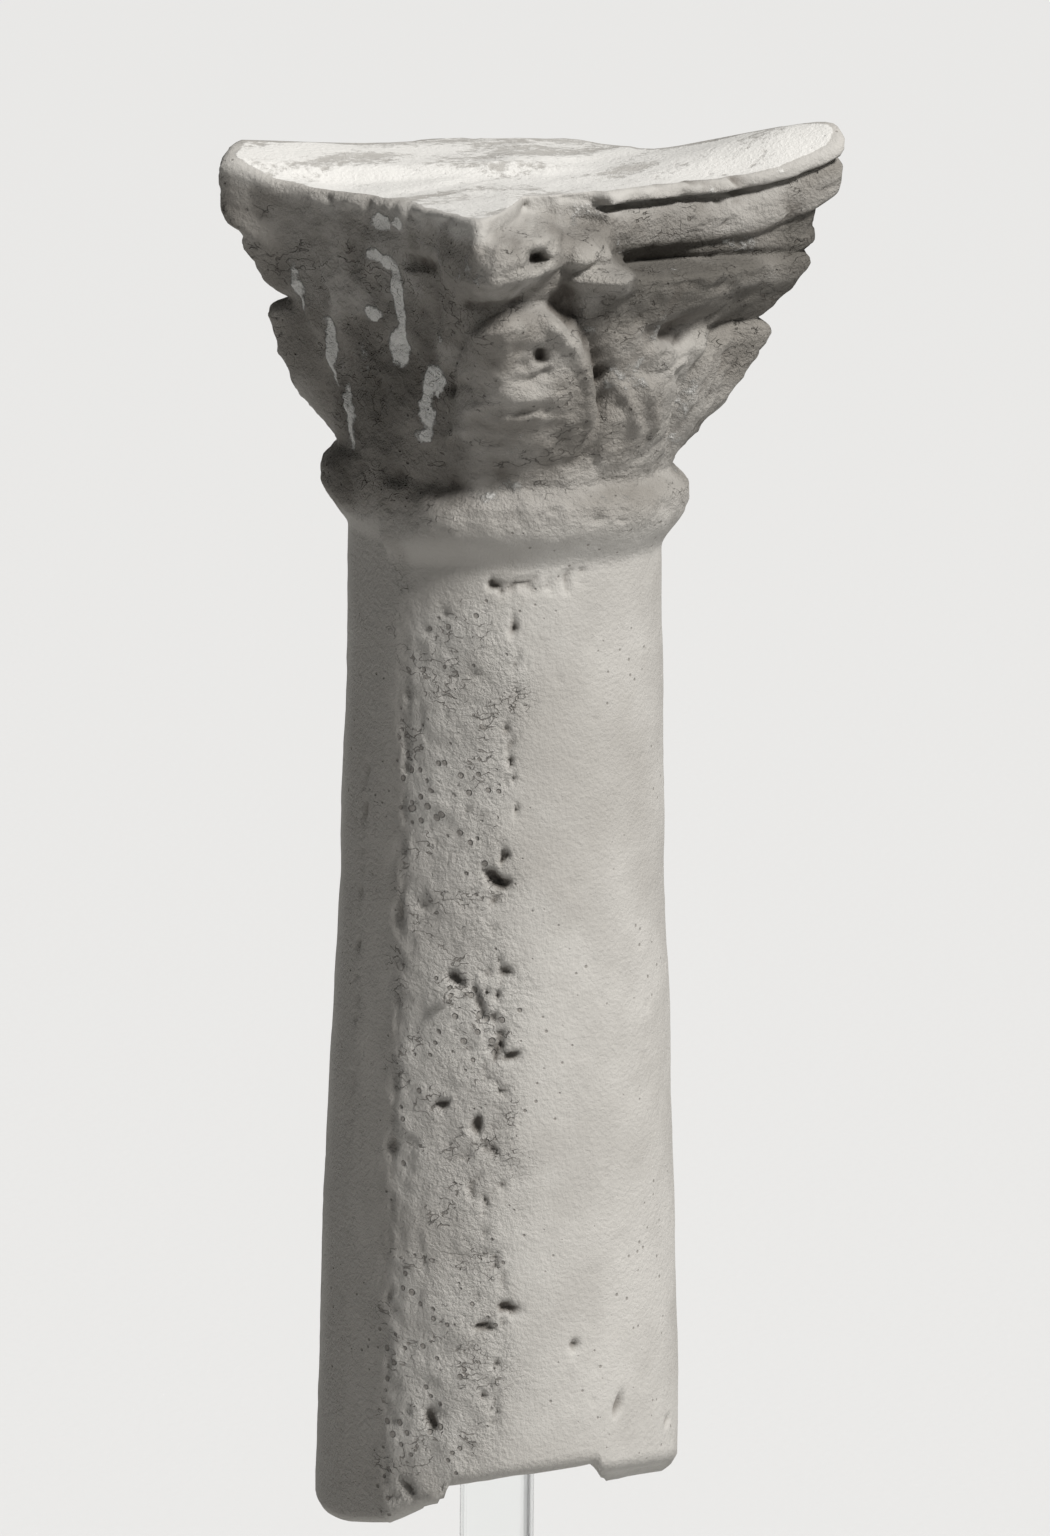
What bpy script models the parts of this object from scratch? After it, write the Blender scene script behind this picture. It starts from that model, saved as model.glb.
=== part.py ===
"""A small column of fired clay: tapering shaft, ring and worn leaf capital, pressed in a two-part mould.

Metres, +Z up. The front (-Y) and back (+Y) halves come from two moulds, and the back half of the
capital sits a little higher than the front. The seams run up the two sides (-X and +X): shaft and
ring are trimmed flat there, and the capital's side faces are smoothed plain. The front right part of the underside is worn away. A clear rod on a square foot
holds the column up: it goes into a round socket in the underside. The column is modelled from its
own underside up, and lifted onto the rod at the end.
"""

import math

import bmesh
import bpy
from mathutils import Matrix, Vector

MM = 0.001

# Shaft
SHAFT_HEIGHT = 105.5 * MM
BASE_RADIUS = 19.9 * MM
NECK_RADIUS = 16.7 * MM
SHAFT_BELLY = 0.25 * MM
BASE_BEVEL = 1.3 * MM
SEAM_HALF_ANGLE = 11.0
SHAFT_SIDES = 60

# Underside: flat at the back and left, worn upwards towards the front right, with a shallow notch
WORN_TURN = -11.0
WORN_START = 6.4 * MM
WORN_SLOPE = 21.0
NOTCH_WIDTH = 17.0 * MM
NOTCH_DEPTH = 1.6 * MM
NOTCH_SHIFT = -6.5 * MM

# Ring between shaft and capital
RING_HEIGHT = 8.4 * MM
RING_PROUD = 3.0 * MM
GROOVE_PROUD = 1.3 * MM

# The seams above the shaft: flat over the ring, then a plain face that fans out to the plate's edge
RING_SEAM_REACH = 18.0 * MM
SIDE_FACE_FOOT = 17.2 * MM
SIDE_FACE_SPREAD = 33.0
CORE_INSET = 0.6 * MM

# Bell of the capital
BELL_HEIGHT = 23.3 * MM
BELL_TOP_RADIUS = 25.0 * MM
MOULD_SHIFT = 2.0 * MM
MOULD_LAP = 0.6 * MM

# Leaves, one under each corner
LEAF_HEIGHT = 15.2 * MM
LEAF_WIDTH = 17.0 * MM
LEAF_PROUD = 4.6 * MM
LEAF_RIB = 0.5 * MM
LEAF_ROOT = 4.0 * MM
LEAF_TURN = 6.0

# Scrolls, one under each corner of the top plate
SCROLL_RADIUS = 4.9 * MM
SCROLL_WIDTH = 7.0 * MM
SCROLL_REACH = 27.2 * MM
SCROLL_DROP = 1.5 * MM

# Top plate: a roll below, a groove, and a thin slab with hollow sides and blunt corners
CORNER_REACH = 36.0 * MM
CORNER_WIDTH = 6.0 * MM
SIDE_HOLLOW = 7.6 * MM
ROLL_HEIGHT = 3.6 * MM
PLATE_GROOVE = 1.1 * MM
SLAB_HEIGHT = 2.3 * MM
TOP_RISE = 2.8 * MM
TOP_SAG = 0.5 * MM
TOP_STEP = 0.4 * MM

# Losses: back left corner trimmed short, back right corner worn down
SHORT_CORNER_REACH = 30.3 * MM
LOST_CORNER_REACH = 29.0 * MM

# Bite out of the slab's front edge, from the front left corner to near the middle
BITE_DEPTH = 2.4 * MM
BITE_START = -47.0
BITE_END = 2.0
BITE_REACH = 16.5 * MM

# Blossom and bud beside the front left scroll
BLOSSOM_RADIUS = 3.3 * MM
BLOSSOM_PETALS = 6
BLOSSOM_TURN = -37.0
BLOSSOM_REACH = 28.0 * MM
BLOSSOM_RISE = 2.6 * MM
BUD_RADIUS = 3.9 * MM
BUD_TURN = -21.0
BUD_REACH = 24.5 * MM
BUD_RISE = 0.2 * MM

# Stand: a clear rod in the column's socket, and the square foot that the rod is set into
ROD_RADIUS = 4.1 * MM
ROD_PLAY = 0.15 * MM
ROD_END_GAP = 0.1 * MM
ROD_SIDES = 48
ROD_SHOWN = 40.0 * MM
SOCKET_DEPTH = 25.0 * MM
FOOT_SIDE = 56.0 * MM
FOOT_HEIGHT = 10.0 * MM
FOOT_BEVEL = 0.8 * MM
FOOT_SEAT = 6.0 * MM

CLAY = (0.50, 0.46, 0.40, 1.0)
CLAY_ROUGHNESS = 0.9
CLEAR = (0.95, 0.96, 0.96, 1.0)
CLEAR_ROUGHNESS = 0.08
CLEAR_IOR = 1.49

RING_TOP = SHAFT_HEIGHT + RING_HEIGHT
BELL_TOP = RING_TOP + BELL_HEIGHT
PLATE_HEIGHT = ROLL_HEIGHT + PLATE_GROOVE + SLAB_HEIGHT
PLATE_TOP = BELL_TOP + PLATE_HEIGHT
FULL_HEIGHT = PLATE_TOP + MOULD_SHIFT + TOP_RISE
COLUMN_LIFT = FOOT_HEIGHT + ROD_SHOWN
CORNERS = (45.0, 135.0, 225.0, 315.0)


def clear_scene():
    for item in list(bpy.data.objects):
        bpy.data.objects.remove(item)


def collection_named(name):
    made = bpy.data.collections.new(name)
    bpy.context.scene.collection.children.link(made)
    return made


def object_from(bm, name, place):
    mesh = bpy.data.meshes.new(name)
    bm.to_mesh(mesh)
    bm.free()
    made = bpy.data.objects.new(name, mesh)
    place.objects.link(made)
    return made


def as_cutter(item):
    item.hide_render = True
    item.display_type = "WIRE"
    return item


def boolean(target, other, operation):
    step = target.modifiers.new(operation.title() + " " + other.name, "BOOLEAN")
    step.operation = operation
    step.solver = "EXACT"
    step.object = other


def applied(item, name, place):
    """The item's evaluated mesh as a plain object of its own."""
    bpy.context.view_layer.update()
    graph = bpy.context.evaluated_depsgraph_get()
    mesh = bpy.data.meshes.new_from_object(item.evaluated_get(graph))
    made = bpy.data.objects.new(name, mesh)
    made.matrix_world = item.matrix_world
    place.objects.link(made)
    return made


def direction(degrees):
    """A level unit vector, counted from the front (-Y) towards the right (+X)."""
    angle = math.radians(degrees)
    return Vector((math.sin(angle), -math.cos(angle), 0.0))


def shaft_radius(height):
    share = min(max(height / SHAFT_HEIGHT, 0.0), 1.0)
    return BASE_RADIUS + (NECK_RADIUS - BASE_RADIUS) * share + SHAFT_BELLY * math.sin(2.0 * math.pi * share)


def bell_radius(height):
    share = min(max((height - RING_TOP) / BELL_HEIGHT, 0.0), 1.0)
    start = NECK_RADIUS + GROOVE_PROUD
    return start + (BELL_TOP_RADIUS - start) * (0.75 * share + 0.25 * share**2)


def turned(name, profile, place):
    """A solid turned round Z from (radius, height) points that run from top to bottom."""
    bm = bmesh.new()
    points = [bm.verts.new((radius, 0.0, height)) for radius, height in profile]
    for upper, lower in zip(points, points[1:]):
        bm.edges.new((upper, lower))
    item = object_from(bm, name, place)
    screw = item.modifiers.new("Turn", "SCREW")
    screw.steps = screw.render_steps = SHAFT_SIDES
    screw.use_merge_vertices = True
    screw.merge_threshold = 0.00001
    return item


def shaft(place):
    steps = 8
    overlap = 0.5 * RING_HEIGHT
    profile = [(0.0, SHAFT_HEIGHT + overlap), (NECK_RADIUS, SHAFT_HEIGHT + overlap)]
    for i in range(steps):
        height = SHAFT_HEIGHT * (1.0 - i / steps)
        profile.append((shaft_radius(height), height))
    profile.append((shaft_radius(BASE_BEVEL), BASE_BEVEL))
    profile.append((BASE_RADIUS - 0.8 * BASE_BEVEL, 0.0))
    profile.append((0.0, 0.0))
    return turned("shaft blank", profile, place)


def bell(place):
    """Ring, groove and flaring bell in one profile, open to nothing: it is solid to the axis."""
    neck = NECK_RADIUS
    ring = ((0.12, 0.02), (0.5, 0.2), (0.8, 0.4), (1.0, 0.62), (0.92, 0.82), (0.62, 0.95))
    profile = [(0.0, BELL_TOP + 0.5 * PLATE_HEIGHT), (BELL_TOP_RADIUS * 0.8, BELL_TOP + 0.5 * PLATE_HEIGHT)]
    steps = 6
    for i in range(steps + 1):
        height = BELL_TOP - BELL_HEIGHT * i / steps
        profile.append((bell_radius(height), height))
    for proud, share in reversed(ring):
        profile.append((neck + RING_PROUD * proud, SHAFT_HEIGHT + RING_HEIGHT * share))
    profile.append((0.0, SHAFT_HEIGHT + RING_HEIGHT * ring[0][1]))
    return turned("bell blank", profile, place)


def plate_outline(points_per_side=14):
    """The plate's plan, anticlockwise from above: hollow sides between blunt corners."""
    outline = []
    for corner in reversed(CORNERS):
        along, across = direction(corner), direction(corner + 90.0)
        following = direction(corner - 90.0)
        start = along * CORNER_REACH - across * CORNER_WIDTH / 2
        end = following * CORNER_REACH + direction(corner) * CORNER_WIDTH / 2
        inward = -(start + end).normalized()
        outline.append(along * CORNER_REACH + across * CORNER_WIDTH / 2)
        for i in range(points_per_side):
            share = i / points_per_side
            hollow = SIDE_HOLLOW * math.sin(math.pi * share) ** 0.8
            outline.append(start.lerp(end, share) + inward * hollow)
    return outline[::-1]


def top_lift(point, front):
    """How far the top stands above PLATE_TOP: it climbs to the front right, and at the front to the seam."""
    towards_right = max(point.dot(direction(45.0)) / CORNER_REACH, 0.0)
    from_middle = min(point.length / CORNER_REACH, 1.0)
    to_seam = min(max(1.0 + point.y / BELL_TOP_RADIUS, 0.0), 1.0) if front else 0.0
    climb = (MOULD_SHIFT - TOP_STEP) * to_seam
    return TOP_RISE * towards_right**1.5 + climb - TOP_SAG * (1.0 - from_middle)


def top_plate(front, place):
    """The plate as a loft of one outline, drawn in or let out at each level."""
    groove = BELL_TOP + ROLL_HEIGHT
    levels = (
        (BELL_TOP - 0.3 * ROLL_HEIGHT, 0.70),
        (BELL_TOP, 0.83),
        (BELL_TOP + 0.2 * ROLL_HEIGHT, 0.92),
        (BELL_TOP + 0.55 * ROLL_HEIGHT, 0.97),
        (BELL_TOP + 0.85 * ROLL_HEIGHT, 0.955),
        (groove, 0.91),
        (groove + 0.5 * PLATE_GROOVE, 0.90),
        (groove + PLATE_GROOVE, 0.97),
        (groove + PLATE_GROOVE + 0.45 * SLAB_HEIGHT, 1.0),
        (PLATE_TOP, 0.985),
        (PLATE_TOP, 0.80),
        (PLATE_TOP, 0.50),
        (PLATE_TOP, 0.22),
    )
    outline = plate_outline()
    bm = bmesh.new()
    rings = []
    for height, scale in levels:
        lifted = (height - BELL_TOP) / PLATE_HEIGHT
        ring = []
        for point in outline:
            spot = point * scale
            lift = top_lift(spot, front) * max(lifted, 0.0)
            ring.append(bm.verts.new((spot.x, spot.y, height + lift)))
        rings.append(ring)
    count = len(outline)
    for lower, upper in zip(rings, rings[1:]):
        for i in range(count):
            j = (i + 1) % count
            bm.faces.new((lower[i], lower[j], upper[j], upper[i]))
    bm.faces.new(rings[0][::-1])
    bm.faces.new(rings[-1])
    bmesh.ops.recalc_face_normals(bm, faces=bm.faces)
    return object_from(bm, "plate blank", place)


def leaf(degrees, place):
    """A tongue-shaped leaf that rises from the ring against the bell and leans out to a blunt tip."""
    foot = RING_TOP + 0.2 * MM
    bm = bmesh.new()
    bmesh.ops.create_grid(bm, x_segments=8, y_segments=9, size=1.0)
    front = list(bm.verts)
    sides = bmesh.ops.extrude_face_region(bm, geom=bm.faces[:], use_keep_orig=True)
    back = [item for item in sides["geom"] if isinstance(item, bmesh.types.BMVert)]
    for vert in front + back:
        side, share = vert.co.x, (vert.co.y + 1.0) / 2.0
        rounded = math.sqrt(max(1.0 - (max(share - 0.5, 0.0) / 0.56) ** 2, 0.0))
        half_width = LEAF_WIDTH / 2 * (0.72 + 0.28 * math.sin(math.pi * share)) * rounded
        half_width *= 1.0 + 0.06 * math.cos(5.0 * math.pi * share)
        height = foot + LEAF_HEIGHT * share
        swell = math.sin(math.pi / 2 * min(share / 0.9, 1.0)) ** 0.7
        rib = LEAF_RIB * math.cos(1.5 * math.pi * side)
        radius = bell_radius(height) + (LEAF_PROUD * swell + rib) * (1.0 - 0.5 * side**2)
        if vert in back:
            radius = bell_radius(height) - LEAF_ROOT
        angle = degrees + math.degrees(side * half_width / (radius if vert not in back else radius * 1.3))
        vert.co = direction(angle) * radius + Vector((0.0, 0.0, height))
    bmesh.ops.recalc_face_normals(bm, faces=bm.faces)
    return object_from(bm, f"leaf {degrees:.0f}", place)


def scroll(degrees, place):
    """A short scroll under a corner, its axle level and square to the corner's diagonal."""
    bm = bmesh.new()
    bmesh.ops.create_cone(
        bm,
        cap_ends=True,
        segments=22,
        radius1=SCROLL_RADIUS,
        radius2=SCROLL_RADIUS,
        depth=SCROLL_WIDTH,
    )
    rims = [edge for edge in bm.edges if len({round(v.co.z, 6) for v in edge.verts}) == 1]
    bmesh.ops.bevel(bm, geom=rims, offset=0.16 * SCROLL_WIDTH, segments=2, affect="EDGES")
    spot = direction(degrees) * SCROLL_REACH + Vector((0.0, 0.0, BELL_TOP - SCROLL_DROP))
    facing = Matrix.Rotation(math.radians(degrees), 4, "Z") @ Matrix.Rotation(math.radians(90), 4, "Y")
    bm.transform(Matrix.Translation(spot) @ facing)
    return object_from(bm, f"scroll {degrees:.0f}", place)


def dome(name, radius, spot, squash, place):
    bm = bmesh.new()
    bmesh.ops.create_uvsphere(bm, u_segments=16, v_segments=10, radius=radius)
    bm.transform(Matrix.Translation(spot) @ Matrix.Diagonal((*squash, 1.0)))
    return object_from(bm, name, place)


def blossom(place):
    """A small round flower beside the front left scroll, with a ring of petals."""
    facing = direction(BLOSSOM_TURN)
    centre = facing * BLOSSOM_REACH + Vector((0.0, 0.0, BELL_TOP + BLOSSOM_RISE))
    pieces = [dome("blossom heart", BLOSSOM_RADIUS * 0.62, centre + facing * 0.8 * MM, (1, 1, 1), place)]
    sideways = direction(BLOSSOM_TURN + 90.0)
    for i in range(BLOSSOM_PETALS):
        turn = 2.0 * math.pi * i / BLOSSOM_PETALS
        offset = sideways * math.cos(turn) + Vector((0.0, 0.0, math.sin(turn)))
        spot = centre + offset * BLOSSOM_RADIUS * 0.68
        pieces.append(dome(f"petal {i}", BLOSSOM_RADIUS * 0.46, spot, (1, 1, 1), place))
    pieces.append(dome("blossom bed", BLOSSOM_RADIUS, centre - facing * 1.9 * MM, (1, 1, 1), place))
    return pieces


def bud(place):
    """A rounded bud to the right of the blossom, under the roll."""
    spot = direction(BUD_TURN) * BUD_REACH + Vector((0.0, 0.0, BELL_TOP + BUD_RISE))
    return dome("bud", BUD_RADIUS, spot, (1.0, 1.0, 0.85), place)


def box(name, corner, size, place, matrix=None):
    bm = bmesh.new()
    bmesh.ops.create_cube(bm, size=1.0)
    middle = Vector(corner) + Vector(size) / 2
    bm.transform(Matrix.Translation(middle) @ Matrix.Diagonal((*size, 1.0)))
    if matrix:
        bm.transform(matrix)
    return object_from(bm, name, place)


def capital_half(front, helpers):
    """One mould's half of the capital: everything on its own side of the seam."""
    blank = bell(helpers)
    for piece in [top_plate(front, helpers)] + [leaf(c + LEAF_TURN, helpers) for c in CORNERS]:
        boolean(blank, piece, "UNION")
    for corner in CORNERS:
        boolean(blank, scroll(corner, helpers), "UNION")
    reach, tall = 2.0 * CORNER_REACH, 2.0 * FULL_HEIGHT
    near_edge = -MOULD_LAP if not front else -reach
    far_edge = reach if not front else 0.0
    keep = box(
        "front mould" if front else "back mould",
        (-reach, near_edge, -FULL_HEIGHT / 2),
        (2.0 * reach, far_edge - near_edge, tall),
        helpers,
    )
    boolean(blank, keep, "INTERSECT")
    name = "capital front half" if front else "capital back half"
    half = applied(blank, name, helpers)
    if not front:
        half.location.z = MOULD_SHIFT
    return half


def prism(name, outline, low, high, place):
    """An upright prism over a plan given as (x, y) points."""
    bm = bmesh.new()
    face = bm.faces.new([bm.verts.new((x, y, low)) for x, y in outline])
    swept = bmesh.ops.extrude_face_region(bm, geom=[face], use_keep_orig=True)
    moved = [item for item in swept["geom"] if isinstance(item, bmesh.types.BMVert)]
    bmesh.ops.translate(bm, vec=(0.0, 0.0, high - low), verts=moved)
    bmesh.ops.recalc_face_normals(bm, faces=bm.faces)
    return object_from(bm, name, place)


def seam_cutter(side, helpers):
    """All that lies outside one seam's flat: along the shaft's taper and over the ring."""
    share = math.cos(math.radians(SEAM_HALF_ANGLE))
    low, high = BASE_RADIUS * share, NECK_RADIUS * share
    outside = 2.0 * CORNER_REACH
    profile = (
        (low, 0.0),
        (high, SHAFT_HEIGHT),
        (RING_SEAM_REACH, SHAFT_HEIGHT + 0.3 * RING_HEIGHT),
        (RING_SEAM_REACH, SHAFT_HEIGHT + 0.8 * RING_HEIGHT),
        (SIDE_FACE_FOOT, RING_TOP),
        (2.0 * outside, RING_TOP),
        (2.0 * outside, -outside),
        (low + (low - high) * outside / SHAFT_HEIGHT, -outside),
    )
    bm = bmesh.new()
    edge = bm.faces.new([bm.verts.new((side * reach, -outside, height)) for reach, height in profile])
    swept = bmesh.ops.extrude_face_region(bm, geom=[edge], use_keep_orig=True)
    moved = [item for item in swept["geom"] if isinstance(item, bmesh.types.BMVert)]
    bmesh.ops.translate(bm, vec=(0.0, 2.0 * outside, 0.0), verts=moved)
    bmesh.ops.recalc_face_normals(bm, faces=bm.faces)
    return object_from(bm, f"seam {side:+d}", helpers)


def fan(name, inset, top_share, helpers):
    """A straight loft from a circle at the ring's top towards the plate's plan."""
    outline = [p - p.normalized() * inset for p in plate_outline()]
    foot_radius = SIDE_FACE_FOOT - inset
    bm = bmesh.new()
    rings = []
    for share in (-0.1, 0.25, 0.5, 0.75, top_share):
        height = RING_TOP + (PLATE_TOP - RING_TOP) * share
        ring = [bm.verts.new((*(p.normalized() * foot_radius).lerp(p, share).xy, height)) for p in outline]
        rings.append(ring)
    count = len(outline)
    for lower, upper in zip(rings, rings[1:]):
        for i in range(count):
            j = (i + 1) % count
            bm.faces.new((lower[i], lower[j], upper[j], upper[i]))
    bm.faces.new(rings[0][::-1])
    bm.faces.new(rings[-1])
    bmesh.ops.recalc_face_normals(bm, faces=bm.faces)
    return object_from(bm, name, helpers)


def side_face_cutter(side, helpers):
    """What stands out past one side's plain face: a wide sector less the fan."""
    middle, far = side * 90.0, 3.0 * CORNER_REACH
    ends = [direction(middle + turn) * far for turn in (-SIDE_FACE_SPREAD, SIDE_FACE_SPREAD)]
    outline = [(0.0, 0.0)] + [(p.x, p.y) for p in ends]
    low = RING_TOP - 0.02 * RING_HEIGHT
    sector = prism(f"sector {side:+d}", outline, low, 2.0 * FULL_HEIGHT, helpers)
    boolean(sector, fan(f"side fan {side:+d}", 0.0, 1.3, helpers), "DIFFERENCE")
    return applied(sector, f"side trim {side:+d}", helpers)


def bite_cutter(helpers):
    """The chip out of the slab's front edge."""
    tip = direction(BITE_START) * CORNER_REACH * 1.2
    inner = direction(0.75 * BITE_START + 0.25 * BITE_END) * BITE_REACH
    middle = direction(0.5 * BITE_START + 0.5 * BITE_END) * BITE_REACH
    last = direction(BITE_END) * CORNER_REACH * 1.5
    outline = [(p.x, p.y) for p in (tip, inner, middle, last)]
    return prism("bite", outline, PLATE_TOP - BITE_DEPTH, 2.0 * FULL_HEIGHT, helpers)


def corner_cutter(degrees, reach, helpers):
    """A block outside a level distance along one corner's diagonal."""
    size = 2.0 * CORNER_REACH
    turn = Matrix.Rotation(math.radians(degrees - 90.0), 4, "Z")
    return box(f"corner {degrees:.0f}", (reach, -size / 2, RING_TOP), (size, size, size), helpers, turn)


def worn_cutter(helpers):
    """What is worn off the underside: a wedge with a shallow step on it, which leaves the notch."""
    size = 3.0 * BASE_RADIUS
    left = NOTCH_SHIFT - NOTCH_WIDTH / 2
    right = NOTCH_SHIFT + NOTCH_WIDTH / 2
    section = (
        (-size / 2, -size),
        (-size / 2, 0.0),
        (left, 0.0),
        (left + 0.4 * NOTCH_DEPTH, NOTCH_DEPTH),
        (right - 0.4 * NOTCH_DEPTH, NOTCH_DEPTH),
        (right, 0.0),
        (size / 2, 0.0),
        (size / 2, -size),
    )
    bm = bmesh.new()
    face = bm.faces.new([bm.verts.new((0.0, y, z)) for y, z in section])
    swept = bmesh.ops.extrude_face_region(bm, geom=[face], use_keep_orig=True)
    moved = [item for item in swept["geom"] if isinstance(item, bmesh.types.BMVert)]
    bmesh.ops.translate(bm, vec=(size, 0.0, 0.0), verts=moved)
    bmesh.ops.recalc_face_normals(bm, faces=bm.faces)
    turn = Matrix.Rotation(math.radians(WORN_TURN - 90.0), 4, "Z")
    hinge = turn @ Matrix.Translation((WORN_START, 0.0, 0.0))
    bm.transform(hinge @ Matrix.Rotation(-math.radians(WORN_SLOPE), 4, "Y"))
    return object_from(bm, "worn underside", helpers)


def cylinder(name, radius, low, high, place):
    """A plain upright cylinder on the axis, between two heights."""
    bm = bmesh.new()
    bmesh.ops.create_cone(
        bm,
        cap_ends=True,
        segments=ROD_SIDES,
        radius1=radius,
        radius2=radius,
        depth=high - low,
    )
    bm.transform(Matrix.Translation((0.0, 0.0, (low + high) / 2)))
    return object_from(bm, name, place)


def clay_material():
    material = bpy.data.materials.new("Pale fired clay")
    material.use_nodes = True
    surface = material.node_tree.nodes["Principled BSDF"]
    surface.inputs["Base Color"].default_value = CLAY
    surface.inputs["Roughness"].default_value = CLAY_ROUGHNESS
    surface.inputs["Metallic"].default_value = 0.0
    material.diffuse_color = CLAY
    return material


def clear_material(name):
    material = bpy.data.materials.new(name)
    material.use_nodes = True
    surface = material.node_tree.nodes["Principled BSDF"]
    surface.inputs["Base Color"].default_value = CLEAR
    surface.inputs["Roughness"].default_value = CLEAR_ROUGHNESS
    surface.inputs["Metallic"].default_value = 0.0
    surface.inputs["IOR"].default_value = CLEAR_IOR
    surface.inputs["Transmission Weight"].default_value = 1.0
    material.diffuse_color = CLEAR
    return material


def finished(item, material):
    item.data.materials.clear()
    item.data.materials.append(material)
    item.data.shade_smooth()
    item.data.set_sharp_from_angle(angle=math.radians(40.0))
    return item


def column(parts, helpers):
    body = shaft(helpers)
    halves = [capital_half(True, helpers), capital_half(False, helpers)]
    core = fan("capital core", CORE_INSET, 0.9, helpers)
    for piece in halves + [core] + blossom(helpers) + [bud(helpers)]:
        boolean(body, piece, "UNION")
    cutters = [seam_cutter(-1, helpers), seam_cutter(1, helpers), worn_cutter(helpers)]
    cutters.append(corner_cutter(225.0, SHORT_CORNER_REACH, helpers))
    cutters.append(corner_cutter(135.0, LOST_CORNER_REACH, helpers))
    cutters.extend(side_face_cutter(side, helpers) for side in (-1, 1))
    cutters.append(bite_cutter(helpers))
    cutters.append(cylinder("socket", ROD_RADIUS + ROD_PLAY, -SOCKET_DEPTH, SOCKET_DEPTH, helpers))
    for cutter in cutters:
        boolean(body, cutter, "DIFFERENCE")
    made = applied(body, "column", parts)
    made.location.z = COLUMN_LIFT
    return finished(made, clay_material())


def foot(parts, helpers):
    """The square foot, with a seat for the rod and its top edges eased."""
    bm = bmesh.new()
    bmesh.ops.create_cube(bm, size=1.0)
    bm.transform(Matrix.Diagonal((FOOT_SIDE, FOOT_SIDE, FOOT_HEIGHT, 1.0)))
    bm.transform(Matrix.Translation((0.0, 0.0, FOOT_HEIGHT / 2)))
    upper = [edge for edge in bm.edges if max(v.co.z for v in edge.verts) > FOOT_HEIGHT / 2]
    bmesh.ops.bevel(bm, geom=upper, offset=FOOT_BEVEL, segments=2, profile=0.5, affect="EDGES")
    blank = object_from(bm, "foot blank", helpers)
    seat = cylinder("rod seat", ROD_RADIUS + ROD_PLAY, FOOT_HEIGHT - FOOT_SEAT, 2.0 * FOOT_HEIGHT, helpers)
    boolean(blank, seat, "DIFFERENCE")
    made = applied(blank, "display_foot", parts)
    return finished(made, clear_material("Clear foot"))


def rod(parts):
    low = FOOT_HEIGHT - FOOT_SEAT + ROD_END_GAP
    high = COLUMN_LIFT + SOCKET_DEPTH - ROD_END_GAP
    return finished(cylinder("display_rod", ROD_RADIUS, low, high, parts), clear_material("Clear rod"))


def main():
    clear_scene()
    parts = collection_named("Clay column on its stand")
    helpers = collection_named("Cutters and blanks")
    column(parts, helpers)
    foot(parts, helpers)
    rod(parts)
    for item in helpers.objects:
        as_cutter(item)


main()
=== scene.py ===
# %% [markdown]
# A small column of pale fired clay, a little shorter than a hand is long. It was pressed in a two-part
# mould: the shaft is plain and tapers, the capital has worn leaves, scrolls and a square top plate
# with hollow sides. A clear rod on a square foot holds it up. The CAD model brings the true sizes,
# so the first step loads it and keeps its box, and everything below is built around that.

# %% Load the frame
import math

import bpy
import numpy as np
from mathutils import Matrix, Vector


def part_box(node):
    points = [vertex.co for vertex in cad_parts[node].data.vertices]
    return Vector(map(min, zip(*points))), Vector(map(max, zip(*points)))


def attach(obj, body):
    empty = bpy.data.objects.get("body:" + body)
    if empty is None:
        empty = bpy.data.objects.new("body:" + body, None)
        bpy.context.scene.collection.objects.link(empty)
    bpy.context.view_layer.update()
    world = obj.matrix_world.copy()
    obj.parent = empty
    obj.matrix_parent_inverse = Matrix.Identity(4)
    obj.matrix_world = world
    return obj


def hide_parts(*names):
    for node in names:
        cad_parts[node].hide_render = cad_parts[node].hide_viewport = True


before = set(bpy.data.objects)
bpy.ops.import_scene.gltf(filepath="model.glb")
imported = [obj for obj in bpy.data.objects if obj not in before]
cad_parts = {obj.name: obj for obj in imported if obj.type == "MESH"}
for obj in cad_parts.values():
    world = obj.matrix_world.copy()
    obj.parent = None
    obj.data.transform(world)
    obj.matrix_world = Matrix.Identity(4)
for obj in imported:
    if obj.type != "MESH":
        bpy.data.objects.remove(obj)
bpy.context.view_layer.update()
MM = 0.001
column_low, column_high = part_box("column")
print("column stands from", round(column_low[2] / MM, 1), "to", round(column_high[2] / MM, 1), "mm")

# %% [markdown]
# The clay is one closed skin. On a worn cast like this almost every point of the surface can be seen
# from the axis, so the whole column is described by one number per direction and height: how far the
# surface stands from the axis. Forms are added to that number and wear is taken off it, much as a
# modeller presses clay on and scrapes it away, and no joint between pieces can open.

# %% Sizes of the column, in millimetres above its own underside
SHAFT_HEIGHT = 105.5
BASE_RADIUS = 19.9
NECK_RADIUS = 16.7
RING_HEIGHT = 8.4
RING_TOP = SHAFT_HEIGHT + RING_HEIGHT
BELL_TOP = 137.2
LIP = 144.2
CORNER_REACH = 36.0
CORNER_WIDTH = 6.0
SIDE_HOLLOW = 7.6
SHORT_CORNER_REACH = 30.4
LOST_CORNER_REACH = 29.2
MOULD_SHIFT = 2.0
SEAM_HALF_ANGLE = 11.0
RING_PROUD = 3.0
RING_FLAT = 17.9
BELL_FOOT = 17.6
print("ring from", SHAFT_HEIGHT, "to", RING_TOP, "mm, lip of the plate at", LIP, "mm")

# %% [markdown]
# A place on the skin is a turn and a height. The turn is in degrees from the front and grows towards
# the right. The plate's corners lie halfway between the faces, and the near left corner stands close
# to the direction from which the column is seen.

# %% Directions round the column
CORNERS = (-45.0, 45.0, 135.0, -135.0)
CAMERA_TURN = -42.0
VIEW_TURN = math.radians(CAMERA_TURN)
print("seen from", CAMERA_TURN, "degrees, nearest corner at", CORNERS[0], "degrees")

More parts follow.
